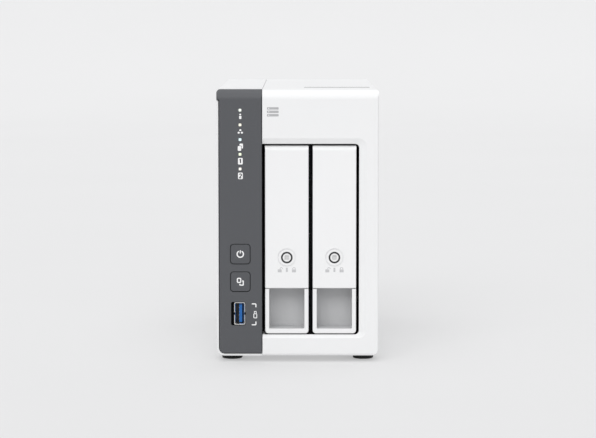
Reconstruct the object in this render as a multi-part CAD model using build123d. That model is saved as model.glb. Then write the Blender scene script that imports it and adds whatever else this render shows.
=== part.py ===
"""Two-bay desktop network storage box.

Millimetres, X to the right, Y from front to back, Z up.
The origin is on the floor, under the middle of the case.
Every function returns one node: a single solid, or a group of like solids.
"""

from build123d import *
import os

# ---------------------------------------------------------------- overall size
width = 102.0
depth = 225.0
body_height = 168.0
foot_height = 4.0

left, right = -width / 2, width / 2
front, back = -depth / 2, depth / 2
bottom, top = foot_height, foot_height + body_height

# ---------------------------------------------------------------- case mouldings
cover_wall = 2.0
top_corner = 2.0
bottom_corner = 5.0
front_depth = 14.0  # front mouldings, from the face back to the covers
front_wall = 2.2
front_top_round = 6.0
front_bottom_round = 1.8
front_side_round = 1.4
panel_width = 28.65  # dark control panel, left of the drive bays
seam_gap = 0.3
lip_wall = 1.2  # cover lip that wraps the control panel's left and lower edge
lip_setback = 1.2
lip_gap = 0.5  # between that lip and the panel
lip_top_drop = 7.0  # where that lip stops below the top
tongue_wall = 1.3
tongue_length = 3.0
fit_gap = 0.2
lap_width = 5.0  # strip under the top and bottom seams
lap_wall = 1.3

cover_front = front + front_depth
seam_x = left + panel_width

# ---------------------------------------------------------------- drive bays
tray_width = 27.8
face_inset = 0.2  # grip and lever are narrower than the carrier behind them
tray_height = 118.85
tray_setback = 0.8
tray_gap = 2.2
bay_side_gap = 1.6
bay_top_gap = 1.1
bay_bottom_gap = 0.7
bay_sill = 13.4
bevel_depth = 1.6
bevel_side, bevel_over, bevel_under = 4.6, 3.5, 2.2
bay_corner = 2.6
liner_wall = 1.5
divider_wall = 0.8  # thin wall of the liner between the trays

bay_left = seam_x
bay_right = bay_left + 2 * bay_side_gap + 2 * tray_width + tray_gap
bay_low = bottom + bay_sill
tray_low = bay_low + bay_bottom_gap
tray_high = tray_low + tray_height
bay_high = tray_high + bay_top_gap
tray_face = front + tray_setback
tray_centres = [
    bay_left + bay_side_gap + tray_width / 2,
    bay_left + bay_side_gap + tray_width * 1.5 + tray_gap,
]
bay_middle = (tray_centres[0] + tray_centres[1]) / 2

# ---------------------------------------------------------------- hard drive, 3.5 inch form
drive_thick, drive_tall, drive_long = 26.1, 101.6, 147.0
drive_hole_rows = (28.5, 70.1, 130.1)  # side screw holes, from the connector end
drive_hole_radius, drive_hole_depth = 1.75, 3.0
drive_lid = 0.8
drive_chamber_radius, drive_chamber_depth = 46.0, 15.0
drive_board_wall, drive_board_pocket = 1.0, 2.4
plug_long, plug_wall, plug_depth = 33.4, 1.3, 5.0
drive_offset = -0.65  # off the tray's centre, to leave room for its side wall
drive_clear = 0.3
drive_front_gap = 1.0

# ---------------------------------------------------------------- tray and lever
tray_head_depth = 20.0
grip_side = 2.55
grip_rail = 3.1
grip_top = 28.7  # lever's lower edge above the tray's
grip_depth = 17.5
grip_reach = 8.0  # finger room behind the lever's lower edge
lever_gap = 0.4
lever_skin = 1.8
lever_cheek = 1.8
lever_foot = 2.0
knuckle_radius, knuckle_gap = 2.3, 0.3
lever_pin_radius = 1.0
pin_clear = 0.04
lever_top_round = 3.2
edge_round = 0.7
tray_corner = 2.0
rail_web = 1.6
side_wall = 1.3
rail_short = 9.0  # rails stop short of the drive's connector end
clip_wall, clip_pin_radius = 1.4, 1.5
lock_rise = 48.25  # lock axis above the tray's lower edge
lock_boss, lock_collar, lock_barrel = 5.45, 3.65, 2.6
lock_key, lock_key_corner, lock_key_deep = 2.8, 0.6, 0.7

pivot_depth = knuckle_radius + knuckle_gap + lever_skin
lever_depth = 2 * pivot_depth
lever_low = tray_low + grip_top
pivot_y = tray_face + pivot_depth
pivot_z = tray_high - pivot_depth
lock_z = tray_low + lock_rise
head_wall_y = tray_face + lever_depth + lever_gap
head_back = tray_face + tray_head_depth
drive_front = head_back + drive_front_gap
drive_back = drive_front + drive_long
plug_root = drive_back - plug_depth - 0.6
tray_middle_z = (tray_low + tray_high) / 2
drive_low, drive_high = tray_middle_z - drive_tall / 2, tray_middle_z + drive_tall / 2

# ---------------------------------------------------------------- cage and guides
cage_wall = 1.0
cage_front_gap = 0.5
guide_wall, guide_rib_high, guide_rib_wide = 1.2, 4.0, 1.6
guide_clear = 0.3
backplane_gap = 6.2  # from the drive's connector end to the backplane
board_wall = 1.6
flange = 8.0

cage_front = cover_front + cage_front_gap
backplane_front = drive_back + backplane_gap
rail_low, rail_high = bay_low + guide_wall + guide_clear, bay_high - guide_wall - guide_clear

# ---------------------------------------------------------------- fan and rear
rear_setback = 1.5
rear_wall = 1.5
fan_size, fan_thick, fan_pitch = 80.0, 25.0, 71.5
fan_bore, fan_hub, fan_motor = 38.3, 16.0, 13.0
blade_count = 7
grille_radius, grille_bar, grille_slot = 37.5, 1.6, 3.6
lead_radius = 0.9
rear_boss = 8.0

rear_back = back - rear_setback
rear_front = rear_back - rear_wall
fan_x = right - cover_wall - fit_gap - fan_size / 2
fan_z = (bottom + top) / 2
fan_back = rear_front
fan_front = fan_back - fan_thick

# ---------------------------------------------------------------- boards and ports
main_board_gap = 1.4
main_board_left = left + cover_wall + main_board_gap
main_board_right = main_board_left + board_wall
port_face = back - 1.0
lan_wide, lan_tall, lan_deep = 16.0, 13.4, 21.0
lan_rises = (101.5, 81.5)  # port centres above the case bottom
usb_rises = (60.0, 42.0)
dc_rise = 22.0
reset_rise = 117.0
lock_slot_rise = 136.0
usb_long, usb_wide, usb_sheet, usb_deep = 13.1, 5.8, 0.35, 13.5
usb_lip, usb_lip_depth, usb_notch = 0.55, 0.8, 1.6
usb_tongue, usb_tongue_shift = 1.84, 0.6

# ---------------------------------------------------------------- control panel
control_x = left + 14.85
front_usb_x = control_x - 0.45
button_size, button_corner, button_gap = 12.2, 1.9, 0.4
button_travel = 0.8
power_rise, copy_rise, front_usb_rise = 64.6, 47.1, 26.85
led_drop, led_pitch, led_count, led_size = 12.75, 9.23, 5, 1.7
switch_size, switch_deep, plunger_radius, plunger_out = 6.0, 3.5, 1.7, 1.2
front_usb_setback = 0.6
usb_port_clear, usb_port_left = 0.4, 1.6  # room round the front socket, and more on its left

power_z, copy_z, front_usb_z = bottom + power_rise, bottom + copy_rise, bottom + front_usb_rise
led_heights = [top - led_drop - led_pitch * i for i in range(led_count)]
front_board_front = front + front_usb_setback + usb_deep
button_flange_front = front + front_wall + fit_gap

# ---------------------------------------------------------------- feet and screws
foot_radius, foot_peg = 6.5, 2.2
foot_side_inset = 9.2
foot_end_inset = front_depth + tongue_length + foot_peg + 0.5
screw_radius, screw_head, screw_head_high = 1.5, 2.8, 1.2


# ================================================================ drawing helpers
def block(x, y, z):
    """Box between the low and high limits given for each axis."""
    size = Box(x[1] - x[0], y[1] - y[0], z[1] - z[0])
    return Pos((x[0] + x[1]) / 2, (y[0] + y[1]) / 2, (z[0] + z[1]) / 2) * size


def along_x(face, low, high):
    """Extrudes a sketch drawn in Y and Z from x = low to x = high."""
    return extrude(Plane.YZ.offset(low) * face, amount=high - low)


def along_y(face, low, high):
    """Extrudes a sketch drawn in X and Z from y = low to y = high."""
    return extrude(Plane.XZ.offset(-high) * face, amount=high - low)


def along_z(face, low, high):
    """Extrudes a sketch drawn in X and Y from z = low to z = high."""
    return extrude(Plane.XY.offset(low) * face, amount=high - low)


def rod_x(y, z, radius, low, high):
    return along_x(Pos(y, z) * Circle(radius), low, high)


def rod_y(x, z, radius, low, high):
    return along_y(Pos(x, z) * Circle(radius), low, high)


def rod_z(x, y, radius, low, high):
    return along_z(Pos(x, y) * Circle(radius), low, high)


def upright(x, z, wide, high, corner):
    """Rounded rectangle about a point, for along_y."""
    return Pos(x, z) * RectangleRounded(wide, high, corner)


def frame_rect(low_x, high_x, low_z, high_z, corner):
    """Rounded rectangle between limits, for along_y."""
    return upright((low_x + high_x) / 2, (low_z + high_z) / 2, high_x - low_x, high_z - low_z, corner)


def group(solids):
    """Like solids that share a node."""
    return Compound(children=list(solids))


def join(solids):
    """One solid made of several that touch."""
    first, *rest = solids
    for solid in rest:
        first = first + solid
    return first


def screw(place, head_radius, head_high, shank_radius, length):
    """Pan-head screw pointing along -Z from its head, with a cross recess."""
    head = extrude(Circle(head_radius), amount=head_high)
    head = fillet(head.edges().sort_by(Axis.Z)[-1], head_high * 0.45)
    shank = extrude(Circle(shank_radius), amount=-length)
    arm, wide = head_radius * 1.1, head_radius * 0.28
    cross = Rectangle(arm, wide) + Rectangle(wide, arm)
    recess = extrude(Plane.XY.offset(head_high * 0.45) * cross, amount=head_high)
    return place * (head + shank - recess)


# ================================================================ case
def section(inset=0.0):
    """Outline of the case seen from the front, inset all round."""
    shape = Pos(0, (bottom + top) / 2) * Rectangle(width - 2 * inset, body_height - 2 * inset)
    shape = fillet(shape.vertices().sort_by(Axis.Y)[-2:], max(top_corner - inset, 0.3))
    return fillet(shape.vertices().sort_by(Axis.Y)[:2], max(bottom_corner - inset, 0.3))


def front_round():
    """Solid whose front edges carry the mouldings' rounds, for cutting them to shape."""
    far = front + front_depth + tongue_length
    side = Pos((front + far) / 2, (bottom + top) / 2) * Rectangle(far - front, body_height)
    nose = side.vertices().sort_by(Axis.X)[:2].sort_by(Axis.Y)
    side = fillet(nose[1], front_top_round)
    side = fillet(side.vertices().sort_by(Axis.Y)[:2].sort_by(Axis.X)[0], front_bottom_round)
    plan = Pos(0, (front + far) / 2) * Rectangle(width, far - front)
    plan = fillet(plan.vertices().sort_by(Axis.Y)[:2], front_side_round)
    return along_x(side, left, right) & along_z(plan, bottom, top)


def vent_field(low_y, low_z, columns, rows, pitch_y, pitch_z, slot_long, slot_wide):
    """Sketch of upright vent slots in Y and Z."""
    slot = SlotOverall(slot_long, slot_wide, rotation=90)
    return Sketch() + [
        Pos(low_y + pitch_y * i, low_z + pitch_z * j) * slot
        for i in range(columns)
        for j in range(rows)
    ]


def rear_corners():
    """Rear screw places: the four corners of the rear panel."""
    inset = cover_wall + rear_boss / 2
    return [(x, z) for x in (left + inset, right - inset) for z in (bottom + inset, top - inset)]


def on_side(places, side):
    """Those places that lie on one side of the middle."""
    return [(x, other) for x, other in places if (x < 0) == (side == "left")]


def foot_places():
    """Centres of the four feet."""
    return [
        (side * (width / 2 - foot_side_inset), end * (depth / 2 - foot_end_inset))
        for side in (-1, 1)
        for end in (-1, 1)
    ]


cage_screw_side, cage_screw_end = 8.0, 24.0  # from the cage's sides and ends


def cage_screw_places():
    """Screws that hold the cage to the case floor."""
    return [
        (x, y)
        for x in (bay_left + cage_screw_side, bay_right - cage_screw_side)
        for y in (cage_front + cage_screw_end, backplane_front - cage_screw_end)
    ]


side_vent_pitch = 6.0
side_vent_long, side_vent_wide = 20.0, 2.4
side_vent_columns = 13
side_vent_low, side_vent_back = 24.0, 26.0


def finish_cover(shell, side):
    """Adds the rear screw bosses of one cover and cuts its vents and foot holes."""
    wall = (left - 1, left + cover_wall + 0.05)
    if side == "right":
        wall = (right - cover_wall - 0.05, right + 1)
    first = back - side_vent_back - side_vent_pitch * (side_vent_columns - 1)
    field = vent_field(first, bottom + side_vent_low, side_vent_columns, 2,
                       side_vent_pitch, side_vent_long + 5.0, side_vent_long, side_vent_wide)
    shell = shell - along_x(field, *wall)
    for x, y in on_side(foot_places(), side):
        shell = shell - rod_z(x, y, foot_peg, bottom - 1, bottom + cover_wall + 1)
    size = rear_boss + cover_wall
    for x, z in on_side(rear_corners(), side):
        boss = upright(x, z, size, size, 1.0) & section(cover_wall / 2)
        shell = shell + along_y(boss, rear_front - 9.0, rear_front)
        shell = shell - rod_y(x, z, screw_radius - 0.2, rear_front - 8.0, rear_front + 1)
    return shell


def left_cover():
    """Left side with its strip of top and floor, and the thin lip round the control panel."""
    room = block((left - 1, seam_x - seam_gap / 2), (front - 1, back + 1), (bottom - 1, top + 1))
    shell = along_y(section() - section(cover_wall), cover_front, back) & room
    lip = along_y(section() - section(lip_wall), front + lip_setback, cover_front + 1)
    lip = lip & room & block((left - 1, seam_x), (front, back), (bottom - 1, top - lip_top_drop))
    return finish_cover(shell + lip, "left")


groove_setback, groove_start, groove_end = 47.0, 26.55, 4.5
groove_wide, groove_deep = 6.0, 1.0


cage_post_radius = 3.6
floor_vent_long, floor_vent_wide, floor_vent_first, floor_vent_pitch, floor_vent_count = 40.0, 2.6, 44.0, 8.0, 9


def right_cover():
    """Right side, most of the top and floor, the laps under both seams and the cage posts."""
    room = block((seam_x + seam_gap / 2, right + 1), (front - 1, back + 1), (bottom - 1, top + 1))
    shell = along_y(section() - section(cover_wall), cover_front, back) & room
    lap_back = rear_front - fit_gap
    lap_start = cover_front + tongue_length + fit_gap
    for level, side in ((top - cover_wall, -1), (bottom + cover_wall, 1)):
        near, far = level + side * 0.15, level + side * (0.15 + lap_wall)
        strip = block((seam_x - lap_width, seam_x + lap_width), (lap_start, lap_back),
                      sorted((near, far)))
        web = block((seam_x + seam_gap / 2, seam_x + lap_width), (lap_start, lap_back),
                    sorted((level, near)))
        shell = shell + web + strip
    groove = block((seam_x + groove_start, right - groove_end),
                   (front + groove_setback - groove_wide / 2, front + groove_setback + groove_wide / 2),
                   (top - groove_deep, top + 1))
    shell = shell - groove
    for x, y in cage_screw_places():
        post = rod_z(x, y, cage_post_radius, bottom + cover_wall / 2, bay_low - cage_wall)
        shell = shell + post - rod_z(x, y, screw_radius + 0.2, bottom - 1, bay_low)
        shell = shell - rod_z(x, y, screw_head + 0.3, bottom - 1, bottom + screw_head_high + 0.2)
    slots = Sketch() + [
        Pos((bay_left + bay_right) / 2, cage_front + floor_vent_first + floor_vent_pitch * i)
        * SlotOverall(floor_vent_long, floor_vent_wide)
        for i in range(floor_vent_count)
    ]
    shell = shell - along_z(slots, bottom - 1, bottom + cover_wall + 0.05)
    return finish_cover(shell, "right")


def feet():
    """Four round rubber feet, each with a peg pressed into the case floor."""
    made = []
    for x, y in foot_places():
        pad = rod_z(x, y, foot_radius, 0, foot_height)
        pad = chamfer(pad.edges().group_by(Axis.Z)[0], 0.5)
        made.append(pad + rod_z(x, y, foot_peg, foot_height, foot_height + cover_wall))
    return group(made)


# ================================================================ front mouldings
def panel_outline():
    """Outline of the control panel: inset for the cover's lip, full width above it."""
    inner = section(lip_wall + lip_gap) & Pos(left, (bottom + top) / 2) * Rectangle(
        2 * (seam_x - seam_gap / 2 - left), 2 * body_height)
    notch = top - lip_top_drop + lip_gap
    ear = section() & frame_rect(left - 1, seam_x - seam_gap / 2, notch, top + 5, 0.1)
    return inner + ear


def led_sketch(clear=0.0):
    return Sketch() + [
        upright(control_x, z, led_size + 2 * clear, led_size + 2 * clear, 0.45) for z in led_heights
    ]


board_boss_radius, board_boss_sides, board_boss_rises = 2.8, (-6.8, 7.2), (13.0, 96.0)


def front_board_holes():
    """Bosses behind the control panel that carry the front board."""
    return [(control_x + side, bottom + rise) for side in board_boss_sides for rise in board_boss_rises]


def control_panel():
    """Dark panel left of the bays, with the buttons' and port's openings."""
    outer = along_y(panel_outline(), front, cover_front)
    rim = [e for e in outer.edges() if abs(e.center().Y - front) < 0.01 and e.center().Z < top - 3]
    outer = fillet(rim, edge_round) & front_round()
    skin = lip_wall + cover_wall
    cavity = along_y(section(skin), front + front_wall, cover_front + 1)
    cavity = cavity & block((left, seam_x - seam_gap / 2 - 1.7), (front, back), (bottom, top))
    tongue = along_y(section(cover_wall + fit_gap) - section(cover_wall + fit_gap + tongue_wall),
                     cover_front - 1, cover_front + tongue_length)
    tongue = tongue & block((left, seam_x - lap_width - 0.5), (front, back), (bottom, top - 9))
    body = outer - cavity + tongue
    for x, z in front_board_holes():
        post = rod_y(x, z, board_boss_radius, front + front_wall / 2, front_board_front)
        body = body + post - rod_y(x, z, screw_radius - 0.2, front + front_wall + 1, front_board_front)
    for z in (power_z, copy_z):
        size = button_size + 2 * button_gap
        hole = along_y(upright(control_x, z, size, size, button_corner + button_gap),
                       front - 1, front + front_wall + 0.1)
        body = body - hole
    lip = 2 * (usb_lip + usb_port_clear)
    port = along_y(upright(front_usb_x - usb_port_left / 2, front_usb_z, usb_wide + lip + usb_port_left,
                           usb_long + lip, 1.2), front - 1, front + front_wall + 0.1)
    body = body - port
    body = body - along_y(led_sketch(0.05), front - 1, front + front_wall + 0.1)
    return body


def bay_bevel():
    """Cutter for the sloping lip round the drive opening."""
    over = 6.0
    wide = frame_rect(bay_left - over, bay_right + bevel_side, bay_low - bevel_under,
                      bay_high + bevel_over, bay_corner + 2.4)
    narrow = frame_rect(bay_left - over, bay_right, bay_low, bay_high, bay_corner)
    near = Plane.XZ.offset(-front) * wide
    far = Plane.XZ.offset(-(front + bevel_depth)) * narrow
    return loft(Sketch() + [near, far])


def front_bezel():
    """White frame above, right of and below the drive bays."""
    room = frame_rect(seam_x + seam_gap / 2, right + 1, bottom - 1, top + 1, 0.1)
    outer = along_y(section() & room, front, cover_front) & front_round()
    skin = cover_wall
    cavity = along_y(section(skin), front + front_wall, cover_front + 1)
    cavity = cavity & block((seam_x + seam_gap / 2 + 1.6, right), (front, back), (bottom, top))
    tongue = along_y(section(cover_wall + fit_gap) - section(cover_wall + fit_gap + tongue_wall),
                     cover_front - 4, cover_front + tongue_length)
    tongue = tongue & block((seam_x + lap_width + 0.5, right), (front, back), (bottom, top))
    link = along_y(section(cover_wall / 2) - section(cover_wall + fit_gap + tongue_wall),
                   cover_front - 4, cover_front)
    link = link & block((seam_x + lap_width + 0.5, right), (front, back), (bottom, top))
    body = outer - cavity + link + tongue
    opening = frame_rect(bay_left - 8, bay_right, bay_low, bay_high, bay_corner)
    body = body - along_y(opening, front - 1, cover_front + tongue_length + 1)
    return body - bay_bevel()


def bay_liner():
    """Black tunnel just behind the bezel, with a thin wall between the trays."""
    start = front + front_wall + fit_gap
    outer = frame_rect(bay_left - 6, bay_right + liner_wall, bay_low - liner_wall,
                       bay_high + liner_wall, bay_corner + liner_wall)
    inner = frame_rect(bay_left - 8, bay_right, bay_low, bay_high, bay_corner)
    tunnel = along_y(outer - inner, start, cover_front)
    tunnel = tunnel + block((bay_middle - divider_wall / 2, bay_middle + divider_wall / 2),
                            (start, cover_front), (bay_low - liner_wall / 2, bay_high + liner_wall / 2))
    trim = block((seam_x + seam_gap / 2 + 1.7, right), (front, back), (bottom, top))
    return tunnel & trim


# ================================================================ cage, guides and backplane
def cage_windows():
    """Sketch in Y and Z of the cage's side cut-outs."""
    long, gap, margin = 40.0, 10.0, 12.0
    high = bay_high - bay_low - 2 * margin
    middle = (bay_low + bay_high) / 2
    first = cage_front + margin + long / 2
    count = int((backplane_front - cage_front - 2 * margin + gap) // (long + gap))
    return Sketch() + [
        Pos(first + (long + gap) * i, middle) * RectangleRounded(long, high, 4.0)
        for i in range(count)
    ]


def drive_cage():
    """Black steel tube that holds both trays, with flanges for the backplane."""
    outer = Pos((bay_left + bay_right) / 2, (bay_low + bay_high) / 2) * Rectangle(
        bay_right - bay_left + 2 * cage_wall, bay_high - bay_low + 2 * cage_wall)
    inner = Pos((bay_left + bay_right) / 2, (bay_low + bay_high) / 2) * Rectangle(
        bay_right - bay_left, bay_high - bay_low)
    body = along_y(outer - inner, cage_front, backplane_front)
    for low, high in ((bay_high, bay_high + flange), (bay_low - flange, bay_low)):
        body = body + block((bay_left - cage_wall, bay_right + cage_wall),
                            (backplane_front - cage_wall, backplane_front), (low, high))
    body = body - along_x(cage_windows(), left, right)
    for x, z in backplane_screw_places():
        body = body - rod_y(x, z, screw_radius, backplane_front - 2, backplane_front + 1)
    for x, y in cage_screw_places():
        body = body - rod_z(x, y, screw_radius, bay_low - 2, bay_low + 0.05)
    return body


def backplane_screw_places():
    """Four screws through the backplane into the cage's flanges."""
    return [
        (x, z)
        for x in (bay_left + cage_screw_side, bay_right - cage_screw_side)
        for z in (bay_low - flange * 0.55, bay_high + flange * 0.55)
    ]


def tray_guides():
    """Ceiling and floor guides, each with a rib between the trays."""
    made = []
    for face, side in ((bay_high, -1), (bay_low, 1)):
        plate = block((bay_left, bay_right), (head_back + guide_clear, backplane_front),
                      sorted((face, face + side * guide_wall)))
        rib = block((bay_middle - guide_rib_wide / 2, bay_middle + guide_rib_wide / 2),
                    (cage_front, backplane_front), sorted((face, face + side * guide_rib_high)))
        made.append(plate + rib)
    return group(made)


socket_long, socket_wide, socket_reach = 41.0, 5.2, 4.2
socket_drop = 24.0  # connector centre below the drive's middle


def plug_place(centre):
    """X and Z of the connector on the drive in the tray at centre."""
    return centre + drive_offset + drive_thick / 2 - 6.0, tray_middle_z - socket_drop


def sata_sockets():
    """Backplane receptacles that reach into the drives' connector recesses."""
    made = []
    for centre in tray_centres:
        x, z = plug_place(centre)
        body = block((x - socket_wide / 2, x + socket_wide / 2),
                     (drive_back - socket_reach, backplane_front),
                     (z - socket_long / 2, z + socket_long / 2))
        slot = block((x - plug_wall / 2 - 0.35, x + plug_wall / 2 + 0.35),
                     (drive_back - socket_reach - 1, drive_back + 0.8),
                     (z - plug_long / 2 - 0.4, z + plug_long / 2 + 0.4))
        made.append(body - slot)
    return group(made)


tab_low, tab_high = 55.0, 95.0  # backplane edge connector, above the case bottom
connector_tall, connector_slot, connector_wide, connector_end = 9.0, 5.5, 7.2, 3.0
slot_clear = 0.3


def backplane_board():
    """Upright board behind the drives, with air windows and an edge tab to the main board."""
    x = (bay_left - cage_wall, bay_right + cage_wall)
    y = (backplane_front, backplane_front + board_wall)
    body = block(x, y, (bay_low - flange, bay_high + flange))
    tab = block((main_board_right + connector_tall - connector_slot, x[0] + 1), y,
                (bottom + tab_low, bottom + tab_high))
    body = body + tab
    for centre in tray_centres:
        low = centre - tray_width / 2 + 3
        body = body - along_y(frame_rect(low, low + 21, tray_middle_z + 4, bay_high - 5, 2.0),
                              y[0] - 1, y[1] + 1)
        body = body - along_y(frame_rect(low, low + 11, bay_low + 4, tray_middle_z - 1, 2.0),
                              y[0] - 1, y[1] + 1)
    for x0, z0 in backplane_screw_places():
        body = body - rod_y(x0, z0, screw_radius + 0.1, y[0] - 1, y[1] + 1)
    return body


def backplane_screws():
    place = backplane_front + board_wall
    return group(
        screw(Plane((x, place, z), x_dir=(1, 0, 0), z_dir=(0, 1, 0)).location,
              screw_head, 1.8, screw_radius - 0.05, board_wall + cage_wall)
        for x, z in backplane_screw_places()
    )


def cage_screws():
    """Screws from under the case up into the cage floor."""
    head_top = bottom + screw_head_high + 0.2
    return group(
        screw(Plane((x, y, head_top), x_dir=(1, 0, 0), z_dir=(0, 0, -1)).location,
              screw_head, screw_head_high, screw_radius - 0.05, bay_low - head_top)
        for x, y in cage_screw_places()
    )


# ================================================================ fan and rear panel
def fan_corners():
    half = fan_pitch / 2
    return [(fan_x + sx * half, fan_z + sz * half) for sx in (-1, 1) for sz in (-1, 1)]


def fan_frame():
    """Square fan housing with its motor base on struts at the rear."""
    outer = along_y(upright(fan_x, fan_z, fan_size, fan_size, 4.0), fan_front, fan_back)
    body = outer - rod_y(fan_x, fan_z, fan_bore, fan_front - 1, fan_back + 1)
    waist = along_y(upright(fan_x, fan_z, fan_size + 2, fan_size + 2, 4.0)
                    - Pos(fan_x, fan_z) * Circle(fan_bore + 1.5),
                    fan_front + 4.0, fan_back - 4.0)
    body = body - waist
    for x, z in fan_corners():
        body = body - rod_y(x, z, 2.2, fan_front - 1, fan_back + 1)
    base = rod_y(fan_x, fan_z, fan_hub, fan_back - 3.0, fan_back)
    strut = Rectangle(2 * fan_bore + 2, 3.2) + Rectangle(3.2, 2 * fan_bore + 2)
    struts = along_y(Pos(fan_x, fan_z) * Rot(0, 0, 45) * strut, fan_back - 3.0, fan_back)
    pin = rod_y(fan_x, fan_z, fan_motor, fan_back - 14.0, fan_back - 2.0)
    bearing = rod_y(fan_x, fan_z, 1.55, fan_back - 15.0, fan_back - 3.5)
    return body + base + struts + pin - bearing


def fan_rotor():
    """Hub cup, shaft and seven twisted blades."""
    cup_front, cup_back = fan_front + 1.5, fan_back - 3.8
    wall = 1.8
    cup = rod_y(fan_x, fan_z, fan_hub - 0.5, cup_front, cup_back)
    cup = fillet(cup.edges().group_by(Axis.Y)[0], 1.5)
    cup = cup - rod_y(fan_x, fan_z, fan_motor + 0.6, cup_front + wall, cup_back + 1)
    shaft = rod_y(fan_x, fan_z, 1.5, cup_front + wall - 0.5, fan_back - 4.0)
    blade_radius = fan_bore - 1.0
    root_radius = fan_hub - 1.2
    middle = (cup_front + cup_back) / 2
    blade = None
    for turn in range(blade_count):
        spin = Location((fan_x, 0, fan_z)) * Rot(0, 360 / blade_count * turn, 0)
        faces = []
        for radius, chord, pitch in ((root_radius, 15.0, 48.0), (blade_radius + 1.5, 26.0, 30.0)):
            plane = Plane((0, middle, radius), x_dir=(1, 0, 0), z_dir=(0, 0, 1))
            faces.append(plane * Rot(0, 0, pitch) * Rectangle(chord, 1.4))
        made = spin * loft(Sketch() + faces)
        blade = made if blade is None else blade + made
    swept = rod_y(fan_x, fan_z, blade_radius, cup_front, cup_back)
    swept = swept - rod_y(fan_x, fan_z, fan_motor + 1.0, cup_front, cup_back)
    return (blade & swept) + cup + shaft


def grille():
    """Sketch of the round fan grille: rings of slots cut by spokes."""
    rings = Sketch()
    radius = 9.0
    while radius + grille_slot <= grille_radius:
        rings = rings + (Circle(radius + grille_slot) - Circle(radius))
        radius += grille_slot + grille_bar
    spoke = Rectangle(2 * grille_radius + 4, 2.4)
    for angle in (0, 45, 90, 135):
        rings = rings - Rot(0, 0, angle + 22.5) * spoke
    return Pos(fan_x, fan_z) * rings


def rear_panel():
    """Steel panel with the fan grille and port openings."""
    body = along_y(section(cover_wall + fit_gap), rear_front, rear_back)
    near, far = rear_front - 1, rear_back + 1
    body = body - along_y(grille(), near, far)
    for x, z in fan_corners():
        body = body - rod_y(x, z, 2.3, near, far)
    for x, z in rear_corners():
        body = body - rod_y(x, z, screw_radius + 0.2, near, far)
    lan_x = main_board_right + lan_tall / 2
    for rise in lan_rises:
        body = body - along_y(upright(lan_x, bottom + rise, lan_tall + 0.3, lan_wide + 0.3, 0.3), near, far)
    lip = 2 * usb_lip + 0.3
    for rise in usb_rises:
        body = body - along_y(upright(rear_usb_x(), bottom + rise, usb_wide + lip, usb_long + lip, 1.0),
                              near, far)
    body = body - rod_y(dc_x(), bottom + dc_rise, 4.2, near, far)
    body = body - rod_y(reset_x(), bottom + reset_rise, 1.1, near, far)
    slot = Pos(reset_x(), bottom + lock_slot_rise) * SlotOverall(7.0, 3.0)
    return body - along_y(slot, near, far)


def rear_panel_screws():
    return group(
        screw(Plane((x, rear_back, z), x_dir=(1, 0, 0), z_dir=(0, 1, 0)).location,
              screw_head, 1.3, screw_radius - 0.3, 8.0)
        for x, z in rear_corners()
    )


def fan_screws():
    return group(
        screw(Plane((x, rear_back, z), x_dir=(1, 0, 0), z_dir=(0, 1, 0)).location,
              3.6, 1.3, 2.1, 10.0)
        for x, z in fan_corners()
    )


# ================================================================ main board and ports
def rear_usb_x():
    return main_board_right + 1.2 + usb_wide / 2


def dc_x():
    return main_board_right + 5.5


def reset_x():
    return main_board_right + 4.0


def standoff_places():
    """Y and Z of the pillars between the cage and the main board."""
    return [
        (y, z)
        for y in (cage_front + 16.0, backplane_front - 14.0)
        for z in (bay_low + 7.0, bay_high - 5.0)
    ]


def main_board():
    """Processor board, upright along the left side."""
    y = (front_board_front + board_wall + 2.0, rear_front - 0.6)
    low = bottom + cover_wall + rear_boss + 2.0
    body = block((main_board_left, main_board_right), y, (low, bay_high + 10.0))
    for y0, z0 in standoff_places():
        body = body - rod_x(y0, z0, screw_radius + 0.1, main_board_left - 1, main_board_right + 1)
    return body


def board_standoffs():
    """Hexagonal pillars from the cage wall to the main board."""
    made = []
    for y, z in standoff_places():
        hexagon = Pos(y, z) * RegularPolygon(3.0, 6)
        pillar = along_x(hexagon, main_board_right, bay_left - cage_wall)
        made.append(pillar - rod_x(y, z, screw_radius, main_board_right - 1, main_board_right + 6))
    return group(made)


def board_screws():
    """Screws of the main board and of the front board."""
    made = [
        screw(Plane((main_board_left, y, z), x_dir=(0, 1, 0), z_dir=(-1, 0, 0)).location,
              screw_head, screw_head_high, screw_radius - 0.05, board_wall + 5.0)
        for y, z in standoff_places()
    ]
    place = front_board_front + board_wall
    made += [
        screw(Plane((x, place, z), x_dir=(1, 0, 0), z_dir=(0, 1, 0)).location,
              2.4, screw_head_high, screw_radius - 0.25, 8.0)
        for x, z in front_board_holes()
    ]
    return group(made)


cpu_y, cpu_z = backplane_front - 70.0, bottom + 93.5
chip_size, chip_thick = 21.0, 1.6
sink_half, sink_base, sink_fin, sink_high, sink_count = 22.0, 3.0, 1.2, 13.0, 9
memory_wide, memory_tall, memory_thick = 13.0, 10.0, 1.2
memory_places = ((42.0, 9.0), (42.0, -9.0), (-38.0, 0.0))  # from the processor, in Y and Z
cell_radius, cell_thick, cell_before, cell_rise = 10.0, 3.2, 24.0, 22.0


def processor():
    return block((main_board_right, main_board_right + chip_thick),
                 (cpu_y - chip_size / 2, cpu_y + chip_size / 2),
                 (cpu_z - chip_size / 2, cpu_z + chip_size / 2))


def heatsink():
    """Finned block on the processor."""
    start = main_board_right + chip_thick
    side_y = (cpu_y - sink_half, cpu_y + sink_half)
    body = block((start, start + sink_base), side_y, (cpu_z - sink_half, cpu_z + sink_half))
    step = (2 * sink_half - sink_fin) / (sink_count - 1)
    for i in range(sink_count):
        low = cpu_z - sink_half + step * i
        body = body + block((start, start + sink_high), side_y, (low, low + sink_fin))
    return body


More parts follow.
